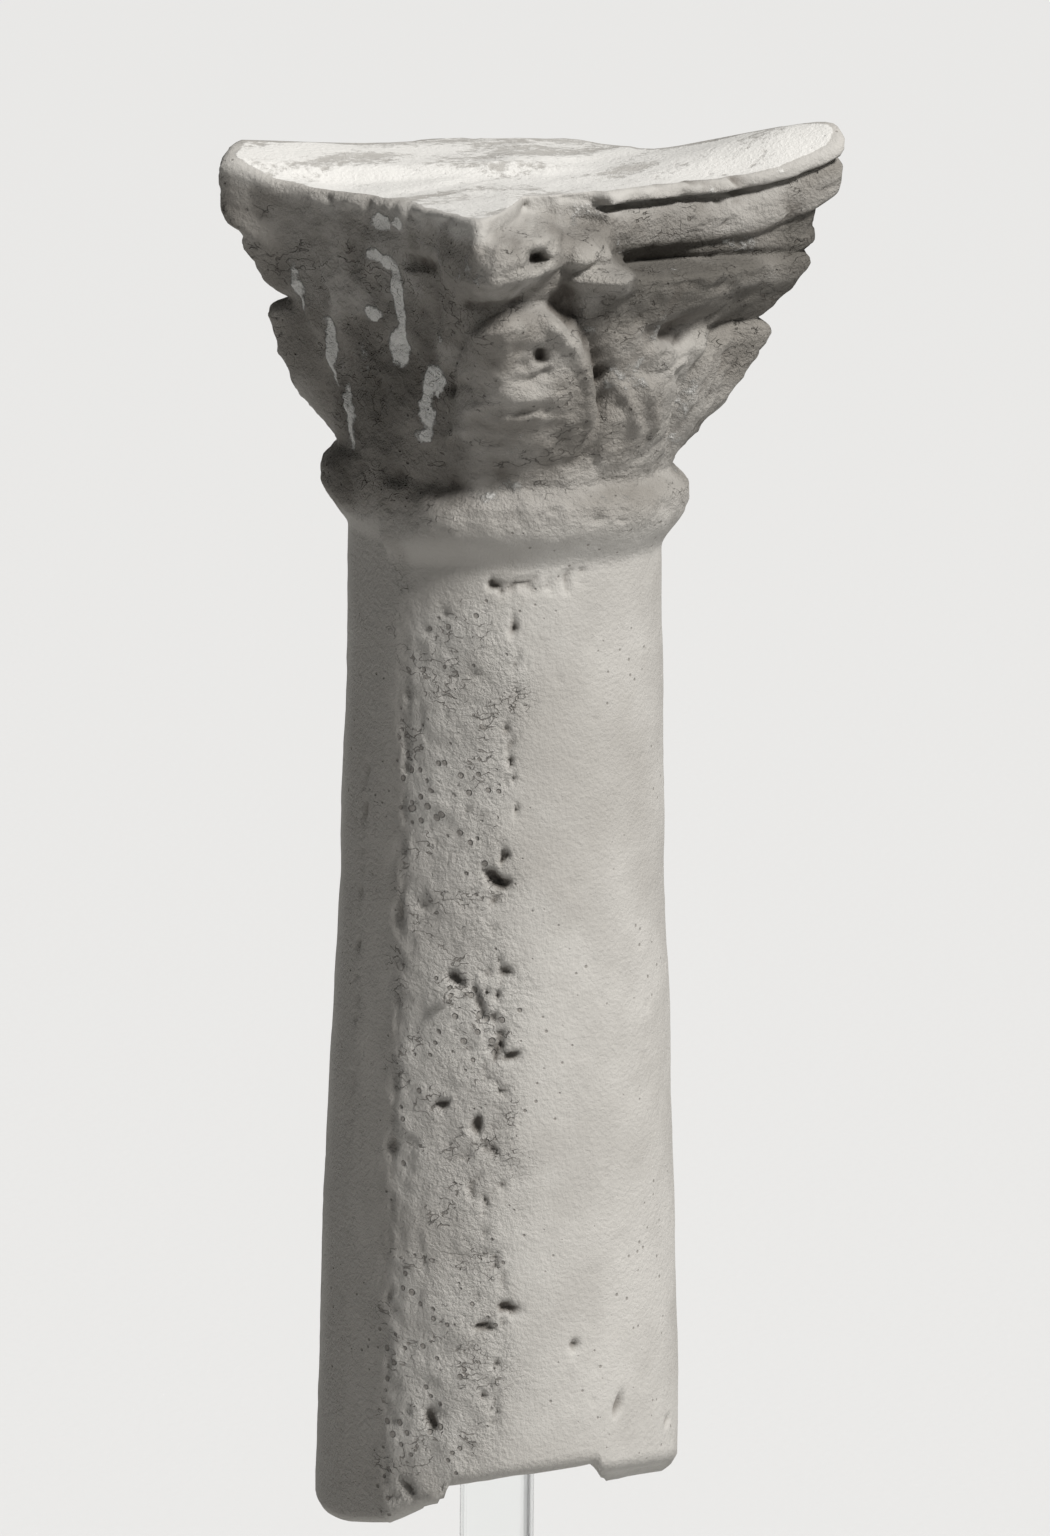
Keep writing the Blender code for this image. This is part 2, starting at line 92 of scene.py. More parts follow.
# %% [markdown]
# A few small helpers do most of the shaping. A soft step fades one form into another without a
# crease, a hump makes a soft bulge or groove, a bow gives the round back of a leaf or moulding, and
# the soft smallest and largest of two forms join them as a wet finger would.

# %% Small helpers for shaping
def step(low, high, value):
    """0 below low, 1 above high, and a soft S between."""
    share = np.clip((value - low) / (high - low), 0.0, 1.0)
    return share * share * (3.0 - 2.0 * share)


def hump(value, width):
    """1 where value is 0, dying away softly to both sides."""
    return np.exp(-((value / width) ** 2))


def bow(value, power=2):
    """A round bow: 1 in the middle and 0 from one unit out."""
    return np.sqrt(np.clip(1.0 - np.abs(value) ** power, 0.0, 1.0))


def soft_min(a, b, blend):
    """The smaller of two, rounded over where they are about equal."""
    return -blend * np.logaddexp(-a / blend, -b / blend)


def soft_max(a, b, blend):
    """The larger of two, rounded over where they are about equal."""
    return blend * np.logaddexp(a / blend, b / blend)


def turn_from(turn, centre):
    """Signed angle in degrees from centre, the short way round."""
    return (turn - centre + 180.0) % 360.0 - 180.0


print("halfway up, the step gives", float(step(0.0, 1.0, 0.5)), "and the bow", round(float(bow(0.5)), 2))

# %% [markdown]
# Clay is never smooth. A lattice of random numbers, read with a soft blend between its points, gives
# a rolling surface, and a few lattices of finer and finer spacing on top of each other give the
# hand-made unevenness of the skin. A fixed seed makes it the same in every run.

# %% Rolling unevenness
rng = np.random.default_rng(7)
LATTICE_SIZE = 32
LATTICE_START = 100.0
LATTICE = rng.random((LATTICE_SIZE, LATTICE_SIZE, LATTICE_SIZE))


def rolling(x, y, z, spacing, shift=0.0):
    """Smooth noise from -1 to 1 with bumps about one spacing wide."""
    point = [np.asarray(c, float) / spacing + shift + LATTICE_START for c in (x, y, z)]
    cell = [np.floor(c).astype(int) for c in point]
    part = [c - b for c, b in zip(point, cell)]
    part = [p * p * (3.0 - 2.0 * p) for p in part]
    total = 0.0
    for i in (0, 1):
        for j in (0, 1):
            for k in (0, 1):
                weight = 1.0
                for share, side in zip(part, (i, j, k)):
                    weight = weight * (share if side else 1.0 - share)
                corner = tuple((c + s) % LATTICE_SIZE for c, s in zip(cell, (i, j, k)))
                total = total + weight * LATTICE[corner]
    return 2.0 * total - 1.0


def rough(x, y, z, spacing, layers=3):
    """Rolling noise with finer and weaker layers on top of it."""
    total, size = 0.0, 1.0
    for layer in range(layers):
        total = total + size * rolling(x, y, z, spacing / 2**layer, shift=7.3 * layer)
        size *= 0.55
    return total


print("unevenness at four places:", [round(float(rough(9.0 * i, 0.0, 0.0, 11.0)), 2) for i in range(4)])

# %% [markdown]
# The shaft swells a little low down and hollows slightly towards the neck. Both seams were pared flat
# with a knife, which leaves a flat strip up each side with a fairly sharp edge. Towards the neck the
# edge dies away, so the blend between round and flat grows with height.

# %% Shaft and seam flats
def shaft_radius(height):
    share = np.clip(height / SHAFT_HEIGHT, 0.0, 1.0)
    return BASE_RADIUS + (NECK_RADIUS - BASE_RADIUS) * share + 0.25 * np.sin(2.0 * math.pi * share)


def shaft_form(turn, height):
    radius = shaft_radius(height)
    across = np.abs(np.sin(np.radians(turn)))
    flat = radius * math.cos(math.radians(SEAM_HALF_ANGLE)) / np.maximum(across, 0.05)
    blend = 0.05 + 0.9 * step(72.0, 100.0, height)
    return soft_min(radius, flat, blend)

print("shaft radius halfway up:", round(float(shaft_radius(SHAFT_HEIGHT / 2.0)), 1), "mm")

# %% [markdown]
# The ring and the capital come from two moulds that didn't quite meet: everything on the back half
# sits two millimetres higher. One function gives the shift, nought at the front and full at the back.

# %% Mould shift
def back_half(turn):
    """0 on the front half, 1 on the back half, with a short slope between."""
    return step(88.5, 91.5, np.abs(turn))


def ring_form(turn, height):
    """The round ring over the neck, softer below than above, cut by the seam flats."""
    level = height - MOULD_SHIFT * back_half(turn)
    share = (level - SHAFT_HEIGHT) / RING_HEIGHT
    lower = step(-0.12, 0.55, share) ** 0.85
    upper = 1.0 - step(0.70, 1.04, share) * 0.62
    radius = NECK_RADIUS + RING_PROUD * lower * upper
    across = np.maximum(np.abs(np.sin(np.radians(turn))), 0.05)
    return soft_min(radius, RING_FLAT / across, 0.35)


middle_of_ring = SHAFT_HEIGHT + 0.5 * RING_HEIGHT
print("ring radius at the front:", round(float(ring_form(0.0, middle_of_ring)), 1), "mm")

# %% [markdown]
# Seen from above the top plate is a square with hollow sides and blunt corners, as on every column of
# this order. The same plan, drawn in towards the ring, also gives the body of the capital, because
# its corners carry the scrolls and its sides are smoothed into one plain fan.

# %% Plan of the plate
def plate_reach(turn):
    """Distance from the axis to the plate's edge in each direction."""
    side = np.round(turn / 90.0) * 90.0
    off = np.radians(turn_from(turn, side))
    straight = (CORNER_REACH + CORNER_WIDTH / 2.0) / math.sqrt(2.0)
    half = (CORNER_REACH - CORNER_WIDTH / 2.0) / math.sqrt(2.0)
    along = np.clip(np.tan(off) * (straight - 0.5 * SIDE_HOLLOW) / half, -1.0, 1.0)
    hollow = SIDE_HOLLOW * np.cos(math.pi / 2.0 * along) ** 0.9
    reach = (straight - hollow) / np.cos(off)
    corner = np.radians(45.0) - np.abs(off)
    reach = soft_min(reach, CORNER_REACH / np.cos(corner), 0.5)
    for middle, limit in ((-135.0, SHORT_CORNER_REACH), (135.0, LOST_CORNER_REACH)):
        away = np.radians(np.clip(turn_from(turn, middle), -60.0, 60.0))
        reach = soft_min(reach, limit / np.cos(away), 0.6)
    return reach


def bell_radius(height):
    share = np.clip((height - RING_TOP) / (BELL_TOP - RING_TOP), 0.0, 1.3)
    return 18.0 + 7.0 * (0.75 * share + 0.25 * share**2)

print("plate reaches", [round(float(plate_reach(turn)), 1) for turn in CORNERS], "mm at its corners")

# %% [markdown]
# A leaf stands under each corner: a tongue that swells away from the bell, has a sharp edge on its
# right and curls over a little at its tip. A scroll fills the space between the leaf's tip and the
# plate, and a smaller form of it runs along the front face as a stalk.

# %% Leaves and scrolls
def leaf_form(turn, height, centre, width, proud, tip):
    """A rounded tongue with faint ribs, from the ring up to its tip."""
    foot = RING_TOP + 0.3
    share = np.clip((height - foot) / (tip - foot), 0.0, 1.0)
    rounded = bow(np.clip(share - 0.45, 0.0, 1.0) / 0.55)
    reach = width / 2.0 * (0.80 + 0.20 * np.sin(math.pi * share)) * (0.42 + 0.58 * rounded)
    side = turn_from(turn, centre) / reach
    across = bow(side, 3)
    swell = step(-0.05, 0.5, share) * bow(np.clip(share - 0.84, 0.0, 1.0) / 0.16)
    ribs = 0.3 * np.cos(1.5 * math.pi * side) * across
    return across * swell * (proud + ribs)


def scroll_form(turn, height, centre, width, middle, half_height, proud):
    """A lying roll, rounded from below to above and blunt at its ends."""
    side = np.clip(np.abs(turn_from(turn, centre)) / width, 0.0, 1.0)
    up = np.clip(np.abs(height - middle) / half_height, 0.0, 1.0)
    return proud * bow(up) * bow(side, 4)


# %% Where they stand
LEAVES = (
    (-36.0, 42.0, 3.1, 133.6), (46.0, 44.0, 3.1, 129.6), (137.0, 50.0, 3.1, 129.6),
    (-134.0, 42.0, 3.1, 129.0), (4.0, 34.0, 1.3, 125.5), (178.0, 34.0, 1.3, 125.5),
)
SCROLLS = [(25.0, 27.0, 134.0, 3.3, 1.3), (-44.0, 12.0, 138.2, 3.6, 1.2)]
SCROLLS += [(corner, 17.0, 134.4, 4.8, 2.5) for corner in CORNERS[1:]]


def laid_on(turn, level):
    """Leaves and scrolls together: the proudest one counts at each place."""
    forms = 0.0
    for centre, width, proud, tip in LEAVES:
        forms = np.maximum(forms, leaf_form(turn, level, centre, width, proud, tip))
    for scroll in SCROLLS:
        forms = np.maximum(forms, scroll_form(turn, level, *scroll))
    return forms


print(len(LEAVES), "leaves and", len(SCROLLS), "scrolls")

# %% [markdown]
# The top isn't level. It is lowest in the middle and rises to the left and the right corner, most on
# the right, where its near edge sags again. Behind the left part lies a low flat step. A bite has
# broken out of the front edge near the left corner. The lip of the plate is simply this surface read
# at the plate's edge.

# %% Top surface
def top_height(x, y):
    """Height of the top at a place, in millimetres."""
    out = np.hypot(x, y)
    along = (x * math.cos(VIEW_TURN) + y * math.sin(VIEW_TURN)) / 30.0
    near = x * math.sin(VIEW_TURN) - y * math.cos(VIEW_TURN)
    level = LIP + 0.2 + 2.4 * along**2 + 1.5 * along - 1.5 * np.tanh(near / 10.0) * np.clip(-along, 0.0, 1.2)
    level = level - 2.6 * step(-2.0, 9.0, near) * np.clip(along, 0.0, 1.2)
    level = level + 1.3 * step(0.45, 1.0, along) * step(7.0, -1.0, near)
    level = level + 0.5 * hump(near - 15.0, 9.0) * step(0.0, 0.4, along)
    plateau = step(2.6, -1.2, near + 3.5 * along) * step(0.35, 0.0, along) * step(-29.0, -20.0, near)
    level = level + 1.0 * plateau + 0.3 * step(-1.6, 1.6, y)
    level = level - 0.5 * hump(out - 19.0, 5.0) * hump(near - 6.0, 5.0) * step(0.0, -0.4, along)
    return level


def broken_reach(turn):
    """How far the lip still reaches where the front edge has broken away."""
    reach = 17.0 + 19.0 * step(-35.0, -47.0, turn)
    reach = reach + 12.0 * step(-16.0, 3.0, turn) + 30.0 * step(2.0, 6.0, turn)
    return reach + 30.0 * step(-46.5, -48.0, turn)


def broken_drop(turn):
    """How far below the lip the broken ledge lies."""
    return 2.0 + 1.3 * step(-32.0, -24.0, turn) - 0.9 * step(-12.0, 0.0, turn)


def lip_height(turn):
    reach = np.minimum(plate_reach(turn) * 0.975, broken_reach(turn))
    angle = np.radians(turn)
    return top_height(reach * np.sin(angle), -reach * np.cos(angle))


print("lip at the corners:", [round(float(lip_height(turn)), 1) for turn in CORNERS], "mm")

# %% [markdown]
# Below the lip the capital has the plate's plan, drawn in towards the ring, and the leaves and scrolls
# are laid on it. The plate's front edge carries a thin band, a fine groove and a round moulding, and
# the other edges are plain and thick. The left and right sides were smoothed into one plain fan. Under
# the break the body is cut back to a ledge.

# %% Parts of the plate
def front_part(turn):
    """1 along the front edge, 0 round its corners."""
    return step(-43.0, -34.0, turn) * (1.0 - step(54.0, 60.0, turn))


def moulded_part(turn):
    """1 along the right half of the front, where the moulding is whole."""
    return step(-12.0, 2.0, turn) * (1.0 - step(54.0, 60.0, turn))


def fan_part(turn, level):
    """1 on the two smoothed sides, which start a little further round low down."""
    side_start = -54.0 - 5.0 * step(138.0, 126.0, level)
    part = 1.0 - step(side_start - 5.0, side_start, turn) * (1.0 - step(52.0, 60.0, turn))
    return part * step(-127.0, -120.0, turn) * (1.0 - step(118.0, 126.0, turn))


def plate_edge(turn, plate, below):
    """How far the plate's edge stands out at a depth below the lip."""
    moulded = plate * (0.905 + 0.075 * bow((below - 4.3) / 2.5))
    moulded = np.where(below < 1.5, plate * 0.988, moulded)
    moulded = moulded - 1.3 * hump(below - 1.9, 0.38)
    thick = plate * (0.965 + 0.03 * bow((below - 3.2) / 5.5))
    return thick + (moulded - thick) * front_part(turn)


# %% Capital below the lip
def capital_form(turn, height, lip):
    """How far the capital stands out at a height, when the plate's lip is at the height lip."""
    level = height - MOULD_SHIFT * back_half(turn)
    below = lip - height
    plate = plate_reach(turn)
    share = np.clip((level - RING_TOP) / (LIP - RING_TOP), 0.0, 1.15)
    body = soft_max(16.0 + (plate - 17.0) * share, bell_radius(level), 0.5)
    body = body + laid_on(turn, level)
    cove = step(135.7, 137.0, level) * moulded_part(turn)
    body = body + (np.minimum(body, plate * 0.90) - body) * cove
    body = body - 1.2 * hump(level - 136.9, 0.5) * moulded_part(turn)
    body = body + (plate_edge(turn, plate, below) - body) * step(8.4, 6.4, below)
    rise = np.clip((height - RING_TOP) / (lip - RING_TOP), 0.0, 1.0) ** 1.12
    fan = np.maximum(17.3 + (plate - 17.3) * rise, 17.3)
    body = body + (fan - body) * fan_part(turn, level)
    whole = step(-0.5, 0.7, below - broken_drop(turn))
    kept = np.minimum(body, broken_reach(turn) - 0.9 * hump(below - 1.4, 0.5) * front_part(turn))
    rounded = 1.0 - bow(np.clip(1.0 - below / 1.1, 0.0, 1.0))
    return kept + (body - kept) * whole - 0.9 * rounded


print("near leaf stands out", round(float(capital_form(-36.0, 128.0, LIP)), 1), "mm from the axis")

# %% [markdown]
# The underside is cut flat at the back and left. At the front right it is worn up into a slope, with a
# shallow notch that goes a little deeper, so the foot of the shaft rises towards the right.

# %% Underside
WORN_TURN = -11.0
WORN_START = 6.4
WORN_SLOPE = math.tan(math.radians(21.0))


def foot_height(x, y):
    angle = math.radians(WORN_TURN)
    forward = x * math.sin(angle) - y * math.cos(angle) - WORN_START
    sideways = x * math.cos(angle) + y * math.sin(angle)
    worn = np.clip(forward, 0.0, 40.0) * WORN_SLOPE + 0.7 * step(0.0, 5.0, forward)
    right_wall = 1.5 + 0.6 * np.clip(13.0 - forward, 0.0, 20.0)
    inside = step(-15.2, -13.8, sideways) * (1.0 - step(-0.7, 0.7, sideways - right_wall))
    notch = (2.9 + 0.31 * forward) * step(-9.5, -6.5, forward)
    height = np.maximum(worn, notch * inside)
    left = -(x * math.cos(VIEW_TURN) + y * math.sin(VIEW_TURN))
    return height - 2.5 * step(8.0, 19.5, left) * step(12.0, 6.0, forward)


print("underside rises to", round(float(foot_height(6.0, -18.0)), 1), "mm at the front right")

# %% [markdown]
# The skin is a grid: columns of points round the axis, and rows up the wall. The part that the picture
# shows has a column about every degree. The back is plain and has one every five degrees, which keeps
# the mesh light.

# %% Lay out the skin's grid
FINE_TURN, COARSE_TURN = 0.95, 5.0
fine = np.arange(-138.0, 54.0, FINE_TURN)
coarse = np.linspace(54.0, 222.0, int(168.0 / COARSE_TURN) + 1)[:-1]
turns = np.concatenate([fine, coarse])
turns = (turns + 180.0) % 360.0 - 180.0
columns = len(turns)
angles = np.radians(turns)
SHAFT_ROWS, CAPITAL_ROWS, TOP_ROWS, FOOT_ROWS = 200, 150, 44, 12
print("columns of points round the skin:", columns)

# %% Wall of the column, before wear
FOOT_ROUND = 1.3


def wall_radius(turn, height, lip):
    """Shaft and ring below, capital above, with a short blend between."""
    lower = soft_max(shaft_form(turn, height), ring_form(turn, height), 0.25)
    level = height - MOULD_SHIFT * back_half(turn)
    upper = np.maximum(capital_form(turn, height, lip), BELL_FOOT)
    above = step(RING_TOP - 0.9, RING_TOP + 0.5, level)
    return np.where(level < RING_TOP - 0.9, lower, lower + (upper - lower) * above)


lips = lip_height(turns)
foot_reach = BASE_RADIUS - 0.6
foots = foot_height(foot_reach * np.sin(angles), -foot_reach * np.cos(angles))
shaft_share = np.linspace(0.0, 1.0, SHAFT_ROWS)[:, None]
capital_share = np.linspace(0.0, 1.0, CAPITAL_ROWS + 1)[1:, None]
shaft_rows = foots[None, :] + FOOT_ROUND + (SHAFT_HEIGHT - 1.0 - foots[None, :] - FOOT_ROUND) * shaft_share
capital_rows = SHAFT_HEIGHT - 1.0 + (lips[None, :] - SHAFT_HEIGHT + 1.0) * capital_share
heights = np.vstack([shaft_rows, capital_rows])
turn_grid = np.broadcast_to(turns, heights.shape)
lip_grid = np.broadcast_to(lips, heights.shape)
radii = wall_radius(turn_grid, heights, lip_grid)
print("wall rows:", heights.shape[0], "widest:", round(float(radii.max()), 1), "mm")

# %% [markdown]
# Marks of use come next. Each one is a small stamp pressed into the skin or laid on it: a round dent
# or lump, or a ridge or scratch drawn between two places. A place is a direction round the column,
# in degrees from the front, and a height in millimetres above the underside. The grid the stamps are
# measured on is bent a little by noise, so that no dent has a neat round edge.

# %% Stamps
flat_x = radii * np.sin(np.radians(turn_grid))
flat_y = -radii * np.cos(np.radians(turn_grid))
stray = 0.34 * rough(flat_x, flat_y, heights, 1.9, 2)
stray_up = 0.34 * rough(flat_x, flat_y, heights + 40.0, 1.9, 2)
bent_turns = turn_grid + np.degrees(stray / radii)
bent_heights = heights + stray_up
print("the stamping grid is bent by up to", round(float(np.abs(stray).max()), 2), "mm")


def stamp(field, turn, height, across, up, proud, power=2.0, tilt=0.0):
    """Adds a soft round form, proud in millimetres, or a dent where proud is negative."""
    sideways = np.radians(turn_from(bent_turns, turn)) * radii
    upward = bent_heights - height
    lean = math.radians(tilt)
    along = (sideways * math.cos(lean) + upward * math.sin(lean)) / across
    over = (upward * math.cos(lean) - sideways * math.sin(lean)) / up
    field += proud * np.exp(-((along**2 + over**2) ** (power / 2.0)))


def ridge(field, start, end, width, proud, fade=0.15):
    """A ridge between two places, or a groove where proud is negative."""
    middle = 0.5 * (start[0] + end[0])
    reach = 22.0
    x = np.radians(turn_from(bent_turns, middle)) * reach
    ax, bx = (math.radians(t - middle) * reach for t in (start[0], end[0]))
    run, rise = bx - ax, end[1] - start[1]
    length = math.hypot(run, rise)
    up = bent_heights - start[1]
    share = ((x - ax) * run + up * rise) / length**2
    away = np.abs((x - ax) * rise - up * run) / length
    ends = step(-fade, fade, share) * (1.0 - step(1.0 - fade, 1.0 + fade, share))
    field += proud * ends * hump(away, width)


# %% [markdown]
# The near leaf reaches higher than the others, almost to the scroll's beak, and its right edge is the
# sharpest line on the capital. Beside it lie the remains of a blossom, a bud, and the curled ends of
# smaller leaves. These worn forms are what gives the capital its look, so each is placed by itself.

# %% Carving on the capital
carving = np.zeros_like(radii)
leaf_right = ((-34.0, 133.4), (-27.0, 130.0), (-19.6, 125.6), (-15.5, 120.0))
for place, following in zip(leaf_right, leaf_right[1:]):
    ridge(carving, place, following, 0.8, 1.0, 0.05)
ridge(carving, (-51.0, 131.0), (-36.0, 133.2), 0.9, 0.9)
stamp(carving, -40.0, 131.4, 5.0, 1.3, 0.6, 3.0)
ridge(carving, (-31.0, 134.4), (-21.0, 129.8), 1.1, -1.3)
ridge(carving, (-21.0, 129.8), (-11.0, 121.5), 1.5, -1.2)
stamp(carving, -45.5, 136.0, 3.2, 1.2, 1.8, 3.0, 15.0)
ridge(carving, (-52.0, 134.4), (-38.0, 134.9), 0.6, -1.4)
for turn in (-50.0, -47.0, -44.0):
    ridge(carving, (turn, 137.4), (turn + 1.8, 135.2), 0.3, -0.35)
print("near leaf and beak, proudest:", round(float(carving.max()), 2), "mm")

# %% Blossom and bud
BLOSSOM = (-36.4, 139.6)
stamp(carving, *BLOSSOM, 3.8, 3.0, 1.4, 4.0)
stamp(carving, *BLOSSOM, 1.0, 0.8, -1.3, 2.0)
stamp(carving, -44.0, 139.0, 1.1, 2.6, 1.0, 3.0, -12.0)
for i in range(7):
    around = 2.0 * math.pi * (i + 0.3) / 7.0
    spot = (BLOSSOM[0] + 3.9 * math.cos(around), BLOSSOM[1] + 2.1 * math.sin(around))
    stamp(carving, *spot, 1.2, 1.05, 1.15 + 0.25 * math.sin(3.1 * i), 3.0)
    between = around + math.pi / 7.0
    parting = (BLOSSOM[0] + 4.4 * math.cos(between), BLOSSOM[1] + 2.4 * math.sin(between))
    ridge(carving, BLOSSOM, parting, 0.4, -0.7)
BUD = (-20.0, 138.0)
stamp(carving, *BUD, 4.0, 2.6, 3.2, 3.0, -18.0)
stamp(carving, -14.0, 135.8, 1.8, 1.4, 0.8, 3.0)
for i in range(5):
    stamp(carving, BUD[0] - 6.0 + 3.2 * i, BUD[1] + 0.9 * math.sin(2.3 * i), 0.8, 0.7, 0.5, 2.0)
ridge(carving, (-28.5, 141.5), (-27.0, 135.0), 0.9, -1.5)
stamp(carving, -27.0, 134.0, 2.0, 1.8, -1.2, 3.0)
print("with blossom and bud, proudest:", round(float(carving.max()), 2), "mm")

# %% Small leaves, curls and stalk
stamp(carving, -34.0, 128.8, 0.8, 0.95, -2.2, 3.0, 30.0)
stamp(carving, -38.5, 128.0, 0.6, 0.5, -0.7, 2.0)
stamp(carving, -14.0, 126.0, 0.8, 0.8, -1.5, 3.0)
stamp(carving, -36.4, 124.2, 3.2, 0.8, 0.8, 2.0)
stamp(carving, -36.0, 121.8, 2.8, 0.6, 0.6, 2.0)
ridge(carving, (-40.0, 126.2), (-31.0, 126.8), 0.5, -0.6)
stamp(carving, -51.0, 122.6, 2.0, 0.9, 1.0, 2.0, 30.0)
stamp(carving, -56.5, 120.0, 2.2, 0.8, 1.0, 2.0, 20.0)
ridge(carving, (-58.0, 124.0), (-50.0, 126.0), 0.6, -0.8)
ridge(carving, (-8.0, 124.5), (-1.0, 119.5), 0.5, 0.9)
ridge(carving, (-2.0, 125.5), (7.0, 119.0), 0.5, 0.9)
ridge(carving, (2.0, 125.6), (19.0, 126.0), 0.6, 0.7)
stamp(carving, 6.7, 127.3, 2.2, 1.2, 1.0, 3.0)
stamp(carving, 6.7, 127.3, 0.9, 0.5, -0.7, 2.0)
stamp(carving, 15.0, 129.8, 4.2, 1.6, -1.9, 3.0, 8.0)
stamp(carving, 2.0, 132.0, 5.0, 1.6, -0.8, 2.0)
stamp(carving, 24.0, 127.0, 2.4, 3.0, 0.8, 2.0)
for i in range(6):
    ridge(carving, (18.0 + 4.5 * i, 118.0), (20.5 + 5.2 * i, 127.0), 0.5, -0.5)
stamp(carving, 33.0, 135.2, 5.5, 2.4, 0.8, 3.0)
ridge(carving, (-6.0, 135.6), (26.0, 134.0), 0.5, -0.4)
print("deepest hollow of the carving:", round(float(-carving.min()), 2), "mm")

# %% [markdown]
# The left side face has a long ridge with a hollow beside it and a few shallow dents, the ring has some
# nicks, and the plate's edge has crumbled all along. Single marks are placed one by one. Crumbs are too
# many for that, so a seeded random draw scatters them along the lip.

# %% Side face, ring and plate wear
stamp(carving, -65.0, 137.6, 2.7, 0.95, -1.2, 4.0)
stamp(carving, -70.0, 129.0, 7.0, 5.0, -0.5, 2.0)
stamp(carving, -56.0, 139.2, 3.0, 1.2, 0.7, 2.0)
ridge(carving, (-121.0, 134.0), (-105.0, 117.0), 0.5, 0.5)
ridge(carving, (-117.0, 140.0), (-110.0, 125.0), 1.2, -0.7)
stamp(carving, -80.0, 114.0, 1.3, 0.7, -0.6, 3.0)
stamp(carving, -68.0, 113.4, 2.6, 0.7, -0.5, 2.0)
for turn, height in ((-11.3, 110.2), (-3.6, 110.0), (-27.0, 111.5)):
    stamp(carving, turn, height, 0.8, 0.35, -0.4, 3.0)
for i in range(26):
    turn = 20.0 + 26.0 * rng.random()
    stamp(carving, turn, 140.5 + 5.0 * rng.random(), 0.7, 0.5, -0.3 - 0.7 * rng.random(), 2.0, 40.0)
for i in range(60):
    turn = rng.uniform(-135.0, 45.0)
    drop = rng.random() ** 2 * 1.6
    centre = float(np.interp(turn, turns[: len(fine)], lips[: len(fine)])) - drop
    stamp(carving, turn, centre, 0.6, 0.45, rng.uniform(-0.6, 0.25), 2.0)
print("crumbs along the lip: 60, and 26 at the right end of the front edge")

# %% [markdown]
# The clay of the shaft holds pits where air or grit lay against the mould. The large ones are placed
# one by one. A ragged row of small ones runs up the near side, a crack lies under the ring, and fine pits
# are scattered over the weathered left part and, fewer, over the smooth right part.

# %% Pits and cracks on the shaft
scars = np.zeros_like(radii)
PITS = (
    (-44.6, 71.8, 1.5, 0.7, -1.5, -32.0), (-43.2, 70.9, 0.8, 0.6, -0.8, -30.0),
    (-57.3, 60.6, 1.0, 0.6, -1.0, -20.0), (-40.5, 61.6, 0.8, 0.6, -0.9, 0.0),
    (-38.6, 52.6, 0.9, 0.5, -1.0, 5.0), (-62.4, 46.9, 1.0, 0.5, -1.0, 0.0),
    (-50.2, 44.8, 0.7, 0.9, -1.0, 0.0), (-38.1, 25.2, 1.2, 0.5, -1.1, -12.0),
    (-46.4, 22.9, 1.0, 0.5, -1.0, 0.0), (-17.0, 20.5, 0.6, 0.5, -0.8, 0.0),
    (-63.8, 12.3, 0.5, 0.9, -0.9, 30.0), (-0.1, 13.2, 0.6, 1.5, -0.7, -25.0),
    (27.0, 9.1, 0.8, 0.5, -0.7, 20.0), (-71.6, 4.6, 0.5, 1.1, -0.7, 35.0),
    (-62.0, 58.4, 2.0, 0.4, 0.7, 38.0), (-49.5, 58.5, 0.5, 2.6, -0.6, 12.0),
)
for i in range(22):
    turn = rng.uniform(-50.0, -12.0)
    height = 103.3 + 0.03 * (turn + 30.0) + rng.normal(0.0, 0.5)
    across = rng.uniform(0.3, 0.8)
    depth, tilt = -rng.uniform(0.15, 0.45), rng.uniform(-25.0, 25.0)
    stamp(scars, turn, height, across, 0.28, depth, 2.0, tilt)
for turn, height, across, up, depth, tilt in PITS:
    stamp(scars, turn, height, across, up, depth, 3.0, tilt)
for start, end, depth in (
    ((-46.5, 103.5), (-42.0, 102.3), -0.8), ((-41.0, 102.4), (-37.0, 103.2), -0.5),
    ((-36.0, 103.0), (-31.0, 103.9), -0.6), ((-28.0, 103.3), (-17.0, 104.6), -0.35),
):
    ridge(scars, start, end, 0.36, depth, 0.2)
print("placed pits:", len(PITS), "deepest", round(float(-scars.min()), 2), "mm")

# %% Row of pits and scattered pits
row_turn = ((100.0, -37.0), (70.0, -42.0), (35.6, -47.5), (24.9, -42.3), (8.0, -44.0))
row_high, row_at = (np.array(c) for c in zip(*sorted(row_turn)))
for i in range(80):
    height = rng.uniform(8.0, 100.0)
    turn = float(np.interp(height, row_high, row_at)) + rng.normal(0.0, 2.2)
    stamp(scars, turn, height, rng.uniform(0.22, 0.5), rng.uniform(0.3, 0.6), -rng.uniform(0.25, 0.75), 2.0)
for i in range(90):
    turn, height = rng.uniform(-78.0, -40.0), rng.uniform(3.0, 100.0)
    across = rng.uniform(0.3, 1.2)
    depth, tilt = -rng.uniform(0.1, 0.35), rng.uniform(-40.0, 40.0)
    stamp(scars, turn, height, across, 0.32, depth, 2.0, tilt)
for i in range(34):
    turn, height = rng.uniform(-40.0, 50.0), rng.uniform(3.0, 100.0)
    stamp(scars, turn, height, rng.uniform(0.25, 0.5), 0.3, -rng.uniform(0.1, 0.3), 2.0)
for i in range(130):
    edge = rng.choice((-79.5, -101.0, 79.0, 101.0))
    height = rng.uniform(3.0, 92.0)
    stamp(scars, edge, height, 0.4, rng.uniform(0.3, 1.1), -rng.uniform(0.1, 0.3), 2.0)
stamp(scars, -80.0, 66.5, 0.7, 1.6, -0.4, 3.0)
stamp(scars, -80.0, 41.5, 0.8, 1.1, -0.6, 3.0)
print("deepest scar", round(float(-scars.min()), 2), "mm")

